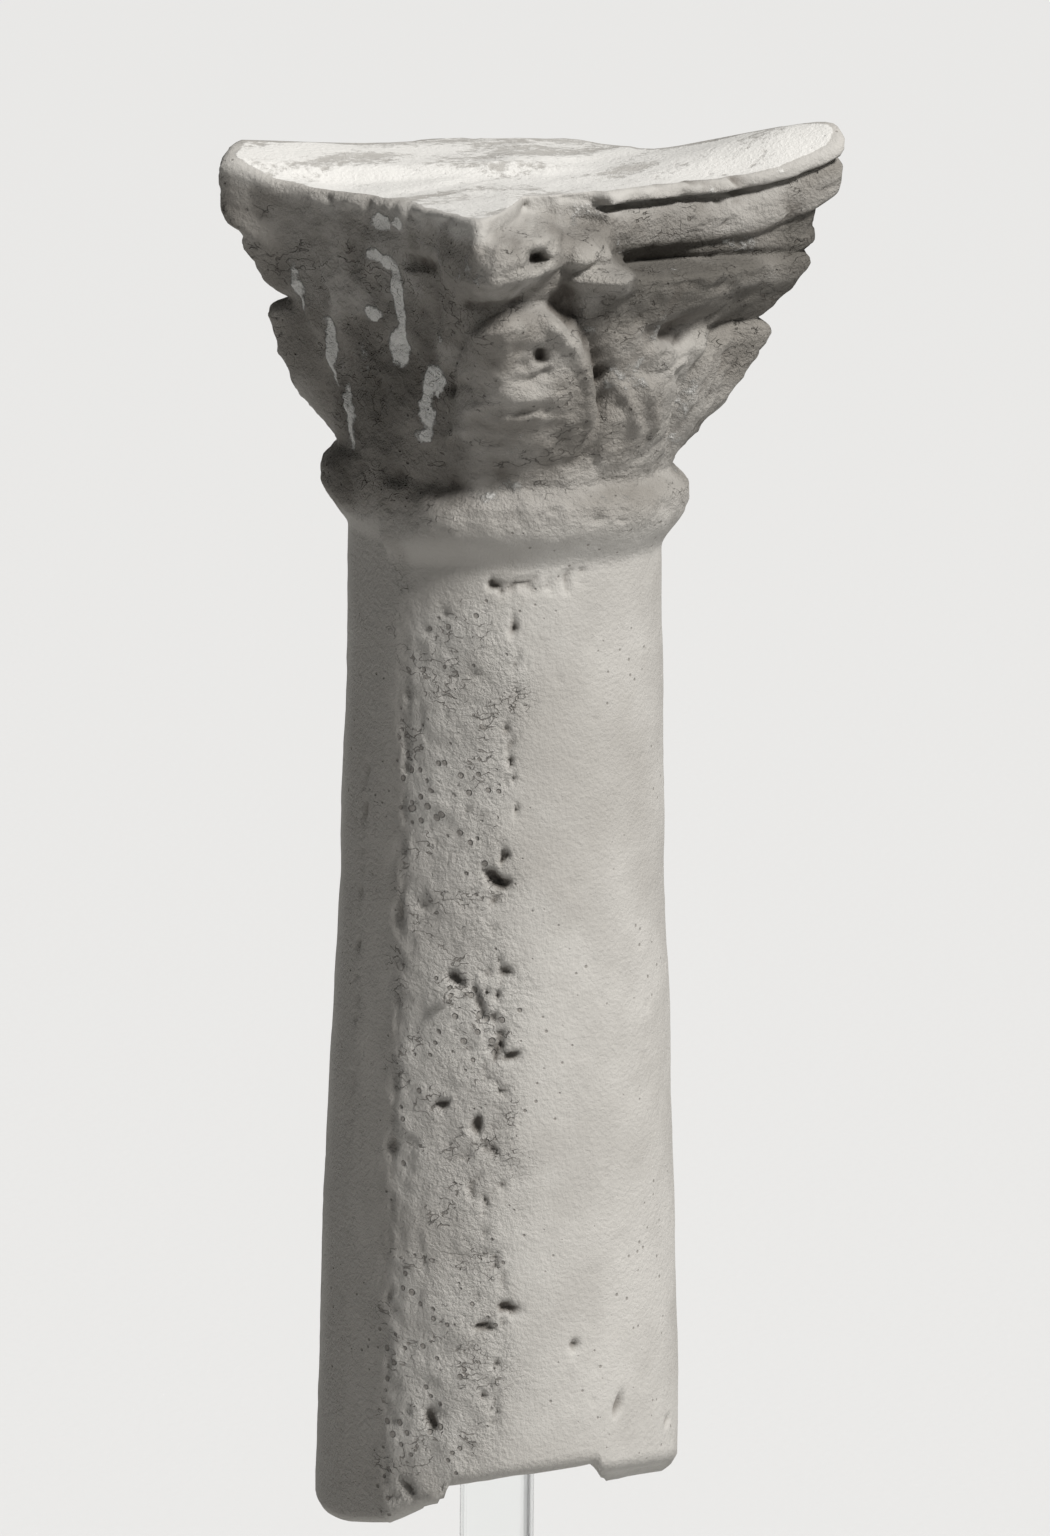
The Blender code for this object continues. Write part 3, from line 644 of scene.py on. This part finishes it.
# %% [markdown]
# The last step of shaping adds the unevenness of the clay itself: broad swells where fingers pressed
# it into the mould, and a finer roughness that is stronger on the capital and on the shaft's left
# part, where the skin has weathered, than on its smooth right part.

# %% Unevenness of the skin
level_x = radii * np.sin(np.radians(turn_grid))
level_y = -radii * np.cos(np.radians(turn_grid))
ragged = turn_grid + 8.0 * rough(level_x, level_y, heights, 6.0, 2)
weathered = step(-30.0, -50.0, ragged) * step(-88.0, -78.0, turn_grid) * step(SHAFT_HEIGHT, 96.0, heights)
on_capital = step(RING_TOP - 8.0, RING_TOP, heights)
swell = 0.13 * rough(level_x, level_y, heights, 11.0, 2)
crumb = rough(level_x, level_y, heights, 2.2, 3)
amount = 0.045 + 0.15 * weathered + 0.32 * on_capital
skin = radii + carving + scars + swell + amount * crumb
relief = 0.5 * carving + scars + amount * crumb
print("skin from", round(float(skin.min()), 1), "to", round(float(skin.max()), 1), "mm from the axis")

# %% [markdown]
# The grid becomes a mesh in three parts that share their edges: the wall, the top that closes over it
# in rings, and the underside, which runs in to the rod's socket and up inside it.

# %% Rings of points
SOCKET_RADIUS = 4.25
SOCKET_DEPTH = 24.9


def ring_points(reach, height):
    """One closed ring of points round the axis."""
    return np.stack([reach * np.sin(angles), -reach * np.cos(angles), height], axis=1)


socket = np.full(columns, SOCKET_RADIUS)
socket_top = np.full(columns, SOCKET_DEPTH)
rings = [ring_points(socket, socket_top), ring_points(socket, 0.5 * socket_top)]
for share in np.linspace(0.0, 1.0, FOOT_ROWS):
    reach = SOCKET_RADIUS + (skin[0] - FOOT_ROUND - SOCKET_RADIUS) * share
    x, y = reach * np.sin(angles), -reach * np.cos(angles)
    grain = 0.12 * rough(x, y, 0.0, 3.0, 2) * step(SOCKET_RADIUS, SOCKET_RADIUS + 2.0, reach)
    rings.append(ring_points(reach, foot_height(x, y) + np.maximum(grain, 0.0)))
rings.append(ring_points(skin[0] - 0.5, heights[0] - 0.85))
reliefs = [np.zeros(columns)] * len(rings)
for row in range(heights.shape[0]):
    rings.append(ring_points(skin[row], heights[row]))
    reliefs.append(relief[row])
for share in np.linspace(0.972, 0.02, TOP_ROWS):
    reach = skin[-1] * share
    x, y = reach * np.sin(angles), -reach * np.cos(angles)
    grain = 0.13 * rough(x, y, 50.0, 5.0, 4)
    rings.append(ring_points(reach, top_height(x, y) + grain))
    reliefs.append(grain)
points = np.concatenate(rings)
reliefs = np.concatenate(reliefs)
print("points in the skin:", len(points))

# %% Column mesh
low_centre, high_centre = len(points), len(points) + 1
top_middle = rings[-1].mean(axis=0)
points = np.vstack([points, (0.0, 0.0, SOCKET_DEPTH), top_middle])
reliefs = np.concatenate([reliefs, (0.0, 0.0)])
order = np.arange(columns)
following = np.roll(order, -1)
faces = []
for row in range(len(rings) - 1):
    low, high = row * columns, (row + 1) * columns
    faces.append(np.stack([order + low, following + low, following + high, order + high], axis=1))
quads = np.concatenate(faces).tolist()
last = (len(rings) - 1) * columns
caps = [(int(b), int(a), low_centre) for a, b in zip(order, following)]
caps += [(int(a) + last, int(b) + last, high_centre) for a, b in zip(order, following)]
lifted = points * MM + np.array((0.0, 0.0, column_low[2]))
skin_mesh = bpy.data.meshes.new("column clay")
skin_mesh.from_pydata(lifted.tolist(), [], quads + caps)
skin_mesh.update()
skin_mesh.shade_smooth()
clay_column = bpy.data.objects.new("clay_column", skin_mesh)
bpy.context.scene.collection.objects.link(clay_column)
triangles = 2 * len(quads) + len(caps)
print("column mesh:", len(skin_mesh.polygons), "faces,", triangles, "triangles")

# %% [markdown]
# The colour of old clay follows its surface: hollows stay dark because dirt sits in them, and edges
# and lumps rub pale. So each point of the mesh carries four numbers for the material to read: how far
# it stands above or below the skin around it, how much chalky deposit lies on it, how much dirt and
# painted shade darken it, and how weathered it is.

# %% Numbers for the material
residue = np.zeros_like(radii)
PATCHES = (
    (-83.3, 141.3, 1.7, 0.8, 1.0), (-73.8, 141.4, 0.9, 0.7, 0.8), (-87.0, 137.6, 1.3, 0.8, 0.9),
    (-80.5, 137.0, 1.1, 0.9, 0.8), (-77.5, 134.6, 0.9, 1.5, 1.0), (-77.0, 131.6, 0.8, 1.6, 0.9),
    (-79.0, 128.0, 1.4, 1.7, 1.0), (-91.0, 131.2, 1.3, 0.7, 1.0), (-64.0, 125.2, 1.5, 1.4, 1.0),
    (-68.5, 121.6, 0.7, 2.3, 0.9), (-71.0, 118.6, 1.0, 0.8, 0.7), (-57.0, 138.8, 0.8, 1.6, 0.5),
    (-119.0, 132.5, 0.5, 3.4, 0.8), (-113.0, 126.5, 0.5, 3.6, 0.9), (-107.5, 119.5, 0.8, 3.4, 0.8),
    (-96.0, 126.0, 0.8, 3.6, 0.4), (-60.0, 130.4, 0.5, 1.2, 0.5), (-66.0, 140.2, 1.4, 0.5, 0.5),
)
for turn, height, across, up, strength in PATCHES:
    stamp(residue, turn, height, 1.3 * across, 1.25 * up, strength, 4.0, 0.0)
residue = np.clip(residue, 0.0, 1.0) * 0.85
speckle = step(0.45, 1.0, rough(level_x, level_y, heights + 30.0, 4.2, 3)) * on_capital
residue = np.maximum(residue, 0.42 * speckle * step(100.0, 60.0, np.abs(turn_grid)))
# Darkening mask for the material. It covers the whole capital except a thin strip under the lip, and the
# lines below add painted shade to it.
soil_and_shade = on_capital * (0.98 + 0.40 * rough(level_x, level_y, heights, 7.0, 3))
soil_and_shade = soil_and_shade * step(0.2, 3.2, lip_grid - heights + 0.8 * rough(level_x, level_y, heights, 2.5, 2))
# Painted shade: on the capital's left side face, which is turned away from the lamp, the darkness is raised
# by half again.
soil_and_shade = soil_and_shade * (1.0 + 0.45 * step(-50.0, -60.0, turn_grid) * step(-128.0, -118.0, turn_grid))
# Painted shade: a band on the front and right of the capital, under the overhang of the plate's moulding, is
# darkened towards near black.
overhang_painted_shade = step(-24.0, -12.0, turn_grid) * step(56.0, 46.0, turn_grid) * step(128.5, 132.0, heights)
overhang_painted_shade = overhang_painted_shade * step(5.6, 6.6, lip_grid - heights)
soil_and_shade = soil_and_shade + 1.1 * overhang_painted_shade * (0.8 + 0.3 * rough(level_x, level_y, heights, 6.0, 2))
# Painted shade: the left seam flat and its edges, turned away from the lamp, get a middling darkness from the
# underside to the top.
soil_and_shade = np.maximum(soil_and_shade, 0.45 * step(-75.0, -82.0, turn_grid) * step(-125.0, -110.0, turn_grid))
chalk, soil_and_shade_points, cracked = (np.zeros(len(points)) for _ in range(3))
first = (FOOT_ROWS + 3) * columns
for target, values in ((chalk, residue), (soil_and_shade_points, soil_and_shade), (cracked, weathered)):
    target[first : first + values.size] = values.ravel()
top_first = first + residue.size
top_points = points[top_first:]
chalk[top_first:] = 0.62 + 0.30 * rough(top_points[:, 0], 2.0 * top_points[:, 1], top_points[:, 2], 9.0, 3)
for name, values in (("relief", reliefs), ("chalk", chalk), ("soil_and_shade", soil_and_shade_points), ("weathered", cracked)):
    layer = skin_mesh.attributes.new(name, "FLOAT", "POINT")
    layer.data.foreach_set("value", np.ascontiguousarray(values, dtype=np.float32))
print("chalky points:", int((chalk > 0.3).sum()))

# %% [markdown]
# Fine grain belongs in the material and not in the mesh. The same kind of grain is wanted on the clay
# and, much fainter, as wipe marks on the rod and foot, so it is one node group with named sockets
# that gives a height, a mask of small pits and a cloud of tone.

# %% Node helpers
def new_group(name, inputs, outputs):
    group = bpy.data.node_groups.new(name, "ShaderNodeTree")
    for label, kind, value in inputs:
        socket = group.interface.new_socket(label, in_out="INPUT", socket_type=kind)
        if value is not None:
            socket.default_value = value
    for label, kind in outputs:
        group.interface.new_socket(label, in_out="OUTPUT", socket_type=kind)
    return group, group.nodes.new("NodeGroupInput"), group.nodes.new("NodeGroupOutput")


def add(tree, kind, settings=None, **values):
    """A new node with its settings and its unlinked socket values set."""
    node = tree.nodes.new(kind)
    for name, value in (settings or {}).items():
        setattr(node, name, value)
    for name, value in values.items():
        socket = node.inputs[int(name[1:])] if name[1:].isdigit() else node.inputs[name.replace("_", " ")]
        if isinstance(value, bpy.types.NodeSocket):
            tree.links.new(value, socket)
        else:
            socket.default_value = value
    return node


def calc(tree, operation, first, second=None, clamp=False):
    node = tree.nodes.new("ShaderNodeMath")
    node.operation, node.use_clamp = operation, clamp
    for socket, value in zip(node.inputs, (first, second)):
        if isinstance(value, bpy.types.NodeSocket):
            tree.links.new(value, socket)
        elif value is not None:
            socket.default_value = value
    return node.outputs[0]


def ramp(tree, value, low, high, to_low=0.0, to_high=1.0):
    node = tree.nodes.new("ShaderNodeMapRange")
    node.interpolation_type = "SMOOTHSTEP"
    tree.links.new(value, node.inputs["Value"])
    for name, number in (("From Min", low), ("From Max", high), ("To Min", to_low), ("To Max", to_high)):
        node.inputs[name].default_value = number
    return node.outputs["Result"]


print("node helpers are ready")

# %% Grain node group
GRAIN_INPUTS = (
    ("Vector", "NodeSocketVector", None), ("Grain Size", "NodeSocketFloat", 0.6),
    ("Pits", "NodeSocketFloat", 0.5), ("Cracks", "NodeSocketFloat", 0.0),
)
GRAIN_OUTPUTS = (("Height", "NodeSocketFloat"), ("Pit Mask", "NodeSocketFloat"), ("Cloud", "NodeSocketFloat"))
grain_group, group_in, group_out = new_group("Grain and cloud", GRAIN_INPUTS, GRAIN_OUTPUTS)
spot = group_in.outputs["Vector"]
scale = calc(grain_group, "DIVIDE", 1000.0, group_in.outputs["Grain Size"])
fine_noise = add(grain_group, "ShaderNodeTexNoise", Vector=spot, Scale=scale, Detail=5.0, Roughness=0.62)
broad = calc(grain_group, "MULTIPLY", scale, 0.045)
cloud_noise = add(grain_group, "ShaderNodeTexNoise", Vector=spot, Scale=broad, Detail=6.0, Roughness=0.55)
cells = calc(grain_group, "MULTIPLY", scale, 0.33)
pores = add(grain_group, "ShaderNodeTexVoronoi", Vector=spot, Scale=cells, Randomness=1.0)
patchy = ramp(grain_group, cloud_noise.outputs[0], 0.42, 0.62, 0.05, 0.24)
pore_size = calc(grain_group, "MULTIPLY", patchy, group_in.outputs["Pits"])
depth = calc(grain_group, "SUBTRACT", pore_size, pores.outputs["Distance"])
pore_mask = calc(grain_group, "MULTIPLY", depth, 14.0, clamp=True)
print("grain and pores take", len(grain_group.nodes), "nodes")

# %% Fine cracks in the group
wide = calc(grain_group, "MULTIPLY", scale, 0.12)
bend = add(grain_group, "ShaderNodeTexNoise", Vector=spot, Scale=wide, Detail=4.0)
bent = add(grain_group, "ShaderNodeVectorMath", {"operation": "MULTIPLY_ADD"}, _0=bend.outputs["Color"])
bent.inputs[1].default_value = (0.0022, 0.0022, 0.0022)
grain_group.links.new(spot, bent.inputs[2])
squeezed = add(grain_group, "ShaderNodeMapping", Vector=bent.outputs[0], Scale=(1.0, 1.0, 1.9))
tight = calc(grain_group, "MULTIPLY", scale, 0.22)
winding = add(grain_group, "ShaderNodeTexNoise", Vector=squeezed.outputs[0], Scale=tight, Detail=2.0)
off_line = calc(grain_group, "ABSOLUTE", calc(grain_group, "SUBTRACT", winding.outputs[0], 0.5))
broken = ramp(grain_group, bend.outputs[0], 0.50, 0.60, 0.0, 0.022)
split_width = calc(grain_group, "MULTIPLY", broken, group_in.outputs["Cracks"])
split_depth = calc(grain_group, "SUBTRACT", split_width, off_line)
split_mask = calc(grain_group, "MULTIPLY", split_depth, 90.0, clamp=True)
pit_mask = calc(grain_group, "MAXIMUM", pore_mask, split_mask)
pit_depth = calc(grain_group, "MULTIPLY", pit_mask, 0.9)
height_sum = calc(grain_group, "SUBTRACT", fine_noise.outputs[0], pit_depth)
for label, value in (("Height", height_sum), ("Pit Mask", pit_mask), ("Cloud", cloud_noise.outputs[0])):
    grain_group.links.new(value, group_out.inputs[label])
print("grain group has", len(grain_group.nodes), "nodes")

# %% [markdown]
# Fired clay is matt. Its body colour is a pale warm grey, darker where it was handled, with grey-brown
# dirt in hollows and pores and a chalky white crust in places. The capital is darker all over, and painted
# shade darkens the shaft's left seam flat and the capital's left side and turns the band under the
# plate's overhang near black. Roughness stays high everywhere and falls a little only where the surface is
# rubbed.

# %% Clay material
clay = bpy.data.materials.new("Pale fired clay")
clay.use_nodes = True
tree = clay.node_tree
tree.nodes.clear()
result = add(tree, "ShaderNodeOutputMaterial")
shader = add(tree, "ShaderNodeBsdfPrincipled", IOR=1.45, Specular_IOR_Level=0.28)
tree.links.new(shader.outputs[0], result.inputs["Surface"])
place = add(tree, "ShaderNodeTexCoord").outputs["Object"]
grain = add(tree, "ShaderNodeGroup", {"node_tree": grain_group}, Vector=place)
grain.inputs["Grain Size"].default_value = 0.5
weather_read = add(tree, "ShaderNodeAttribute", {"attribute_name": "weathered"}).outputs["Fac"]
soil_and_shade_read = add(tree, "ShaderNodeAttribute", {"attribute_name": "soil_and_shade"}).outputs["Fac"]
tree.links.new(calc(tree, "ADD", calc(tree, "MULTIPLY", weather_read, 0.5), 0.65), grain.inputs["Pits"])
soil_and_shade_cracks = calc(tree, "MULTIPLY", soil_and_shade_read, 0.6)
tree.links.new(calc(tree, "ADD", weather_read, soil_and_shade_cracks), grain.inputs["Cracks"])
relief_read = add(tree, "ShaderNodeAttribute", {"attribute_name": "relief"}).outputs["Fac"]
chalk_read = add(tree, "ShaderNodeAttribute", {"attribute_name": "chalk"}).outputs["Fac"]
print("clay material reads grain and four numbers")

# %% Colours of the clay, from the body outwards
def coat(amount, under, colour):
    """Lays a colour over what is under it, as thickly as the amount says."""
    node = add(tree, "ShaderNodeMix", {"data_type": "RGBA"}, _0=amount)
    if isinstance(under, bpy.types.NodeSocket):
        tree.links.new(under, node.inputs[6])
    else:
        node.inputs[6].default_value = (*under, 1.0)
    node.inputs[7].default_value = (*colour, 1.0)
    return node.outputs[2]


cloud = ramp(tree, grain.outputs["Cloud"], 0.36, 0.66)
stain = add(tree, "ShaderNodeTexNoise", Vector=place, Scale=38.0, Detail=4.0, Roughness=0.6).outputs[0]
body = coat(cloud, (0.315, 0.302, 0.280), (0.365, 0.352, 0.328))
stained = coat(ramp(tree, stain, 0.50, 0.68, 0.0, 0.55), body, (0.280, 0.266, 0.243))
# Grey-brown darkening from the mask: over the capital, and as painted shade on the left seam flat and the
# capital's left side.
soil_and_shade_amount = calc(tree, "MULTIPLY", soil_and_shade_read, ramp(tree, grain.outputs["Cloud"], 0.34, 0.60, 0.45, 1.0))
soiled_and_shaded_clay = coat(soil_and_shade_amount, stained, (0.205, 0.191, 0.170))
# Painted shade: where the mask runs highest, in the band under the plate's overhang and on the capital's left
# side, the clay goes near black.
patina_and_painted_shade = coat(ramp(tree, soil_and_shade_read, 0.95, 2.0, 0.0, 0.9), soiled_and_shaded_clay, (0.088, 0.081, 0.070))
hollow = ramp(tree, relief_read, -0.08, -0.9, 0.0, 0.85)
dirt_amount = calc(tree, "MAXIMUM", hollow, calc(tree, "MULTIPLY", grain.outputs["Pit Mask"], 0.55))
dirty = coat(dirt_amount, patina_and_painted_shade, (0.095, 0.083, 0.070))
rubbed = coat(ramp(tree, relief_read, 0.15, 1.4, 0.0, 0.35), dirty, (0.460, 0.440, 0.405))
print("colour has six coats so far, the chalk comes last")

# %% Chalk crust, roughness and bump
torn = add(tree, "ShaderNodeTexNoise", Vector=place, Scale=900.0, Detail=5.0, Roughness=0.7).outputs[0]
chalk_torn = calc(tree, "ADD", chalk_read, calc(tree, "MULTIPLY", calc(tree, "SUBTRACT", torn, 0.5), 1.1))
crust = calc(tree, "MULTIPLY", ramp(tree, chalk_torn, 0.36, 0.62), ramp(tree, chalk_read, 0.02, 0.12))
tree.links.new(coat(crust, rubbed, (0.530, 0.520, 0.495)), shader.inputs["Base Color"])
matt = ramp(tree, grain.outputs["Height"], 0.25, 0.70, 0.93, 0.80)
tree.links.new(calc(tree, "ADD", matt, calc(tree, "MULTIPLY", crust, 0.05)), shader.inputs["Roughness"])
raised = calc(tree, "ADD", grain.outputs["Height"], calc(tree, "MULTIPLY", crust, 0.7))
rougher = calc(tree, "MAXIMUM", weather_read, soil_and_shade_read)
grain_depth = calc(tree, "ADD", calc(tree, "MULTIPLY", rougher, 0.55), 0.42, clamp=True)
bump = add(tree, "ShaderNodeBump", Strength=grain_depth, Distance=0.0006, Height=raised)
tree.links.new(bump.outputs[0], shader.inputs["Normal"])
skin_mesh.materials.append(clay)
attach(clay_column, "root")
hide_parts("column")
print("clay material has", len(tree.nodes), "nodes")

# %% [markdown]
# Rod and foot are clear acrylic. The rod was sawn and turned, so its long face carries very faint
# drawn lines; the foot is polished plate. The rod bends light as a lens would. The foot lies flat on
# the floor, where real acrylic shows the lit floor through it, and a low alpha gives that directly.
# The wipe marks only touch roughness and bump.

# %% Acrylic materials
def clear_plastic(name, roughness, lines, through, alpha):
    material = bpy.data.materials.new(name)
    material.use_nodes = True
    nodes = material.node_tree
    surface = nodes.nodes["Principled BSDF"]
    surface.inputs["Base Color"].default_value = (0.97, 0.985, 0.98, 1.0)
    surface.inputs["Transmission Weight"].default_value = through
    surface.inputs["Alpha"].default_value = alpha
    surface.inputs["IOR"].default_value = 1.49
    spot = add(nodes, "ShaderNodeTexCoord").outputs["Object"]
    drawn = add(nodes, "ShaderNodeMapping", Vector=spot, Scale=(1.0, 1.0, lines))
    wiped = add(nodes, "ShaderNodeGroup", {"node_tree": grain_group}, Vector=drawn.outputs[0])
    wiped.inputs["Grain Size"].default_value = 1.6
    wiped.inputs["Pits"].default_value = 0.0
    matt = ramp(nodes, wiped.outputs["Cloud"], 0.35, 0.7, roughness, roughness + 0.06)
    nodes.links.new(matt, surface.inputs["Roughness"])
    faint = add(nodes, "ShaderNodeBump", Strength=0.06, Distance=0.0001, Height=wiped.outputs["Height"])
    nodes.links.new(faint.outputs[0], surface.inputs["Normal"])
    return material


for node_name, material in (
    ("display_rod", clear_plastic("Clear acrylic rod", 0.09, 0.12, 1.0, 1.0)),
    ("display_foot", clear_plastic("Clear acrylic foot", 0.03, 1.0, 0.0, 0.22)),
):
    stand_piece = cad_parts[node_name]
    stand_piece.material_slots[0].material = material
    print(node_name, "takes", material.name)

# %% [markdown]
# The studio is a pale floor that runs far back, a soft lamp high on the right, as in the picture, and a
# dim fill from all round. A sun lamp lights the far floor as strongly as the near one, so the whole
# background is even, and its angle sets how soft the shadows are. The floor lies a hair below the
# clear foot, because two faces in one place would flicker. The Standard view transform shows every
# tone as it is lit, where Blender's default would flatten the pale clay.

# %% Floor
FLOOR = 30.0
FLOOR_LEVEL = -0.0001
corners = [(x * FLOOR, y * FLOOR, FLOOR_LEVEL) for x, y in ((-1, -1), (1, -1), (1, 1), (-1, 1))]
floor_mesh = bpy.data.meshes.new("studio floor")
floor_mesh.from_pydata(corners, [], [(0, 1, 2, 3)])
floor = bpy.data.objects.new("studio_floor", floor_mesh)
bpy.context.scene.collection.objects.link(floor)
paper = bpy.data.materials.new("Pale paper")
paper.use_nodes = True
paper_tree = paper.node_tree
paper_surface = paper_tree.nodes["Principled BSDF"]
paper_place = add(paper_tree, "ShaderNodeTexCoord").outputs["Object"]
paper_grain = add(paper_tree, "ShaderNodeTexNoise", Vector=paper_place, Scale=900.0, Detail=3.0)
paper_surface.inputs["Base Color"].default_value = (0.56, 0.56, 0.555, 1.0)
paper_matt = ramp(paper_tree, paper_grain.outputs[0], 0.3, 0.7, 0.85, 0.95)
paper_tree.links.new(paper_matt, paper_surface.inputs["Roughness"])
paper_bump = add(paper_tree, "ShaderNodeBump", Strength=0.1, Distance=0.0001, Height=paper_grain.outputs[0])
paper_tree.links.new(paper_bump.outputs[0], paper_surface.inputs["Normal"])
floor_mesh.materials.append(paper)
print("floor is", 2.0 * FLOOR, "m wide")

# %% Lamps and world
AIM_HEIGHT = 80.1
KEY_TURN, KEY_RISE = 47.0, 48.0


def toward(turn, rise):
    """Unit vector from the column in a direction and up by an angle, both in degrees."""
    a, b = math.radians(turn), math.radians(rise)
    return Vector((math.sin(a) * math.cos(b), -math.cos(a) * math.cos(b), math.sin(b)))


aim = Vector((0.0, 0.0, column_low[2] + AIM_HEIGHT * MM))
key = bpy.data.lights.new("key", "SUN")
key.energy, key.angle, key.color = 5.9, math.radians(14.0), (1.0, 0.99, 0.98)
key_holder = bpy.data.objects.new("key", key)
key_holder.rotation_euler = toward(CAMERA_TURN + KEY_TURN, KEY_RISE).to_track_quat("Z", "Y").to_euler()
bpy.context.scene.collection.objects.link(key_holder)
world = bpy.data.worlds.new("Pale studio")
world.use_nodes = True
world.node_tree.nodes["Background"].inputs["Color"].default_value = (0.92, 0.94, 0.96, 1.0)
world.node_tree.nodes["Background"].inputs["Strength"].default_value = 0.10
bpy.context.scene.world = world
bpy.context.scene.view_settings.view_transform = "Standard"

# %% [markdown]
# The picture was taken from a little above the capital with a long lens, so the camera stands well back
# and looks slightly down. The column leans by half a degree in the picture, which is the camera's roll.

# %% Camera
CAMERA_DISTANCE = 760.0
CAMERA_HEIGHT = 239.0
ROLL = 0.48
camera_data = bpy.data.cameras.new("Long lens")
camera_data.sensor_fit = "VERTICAL"
camera_data.sensor_height = 24.0
camera_data.lens = 112.4
camera_data.shift_x = 0.0143
camera = bpy.data.objects.new("Camera", camera_data)
stand = toward(CAMERA_TURN, 0.0) * CAMERA_DISTANCE * MM
camera.location = (stand.x, stand.y, column_low[2] + CAMERA_HEIGHT * MM)
view = (aim - camera.location).to_track_quat("-Z", "Y").to_matrix()
camera.rotation_euler = (view @ Matrix.Rotation(math.radians(ROLL), 3, "Z")).to_euler()
bpy.context.scene.collection.objects.link(camera)
bpy.context.scene.camera = camera
print("camera at", [round(v, 3) for v in camera.location])
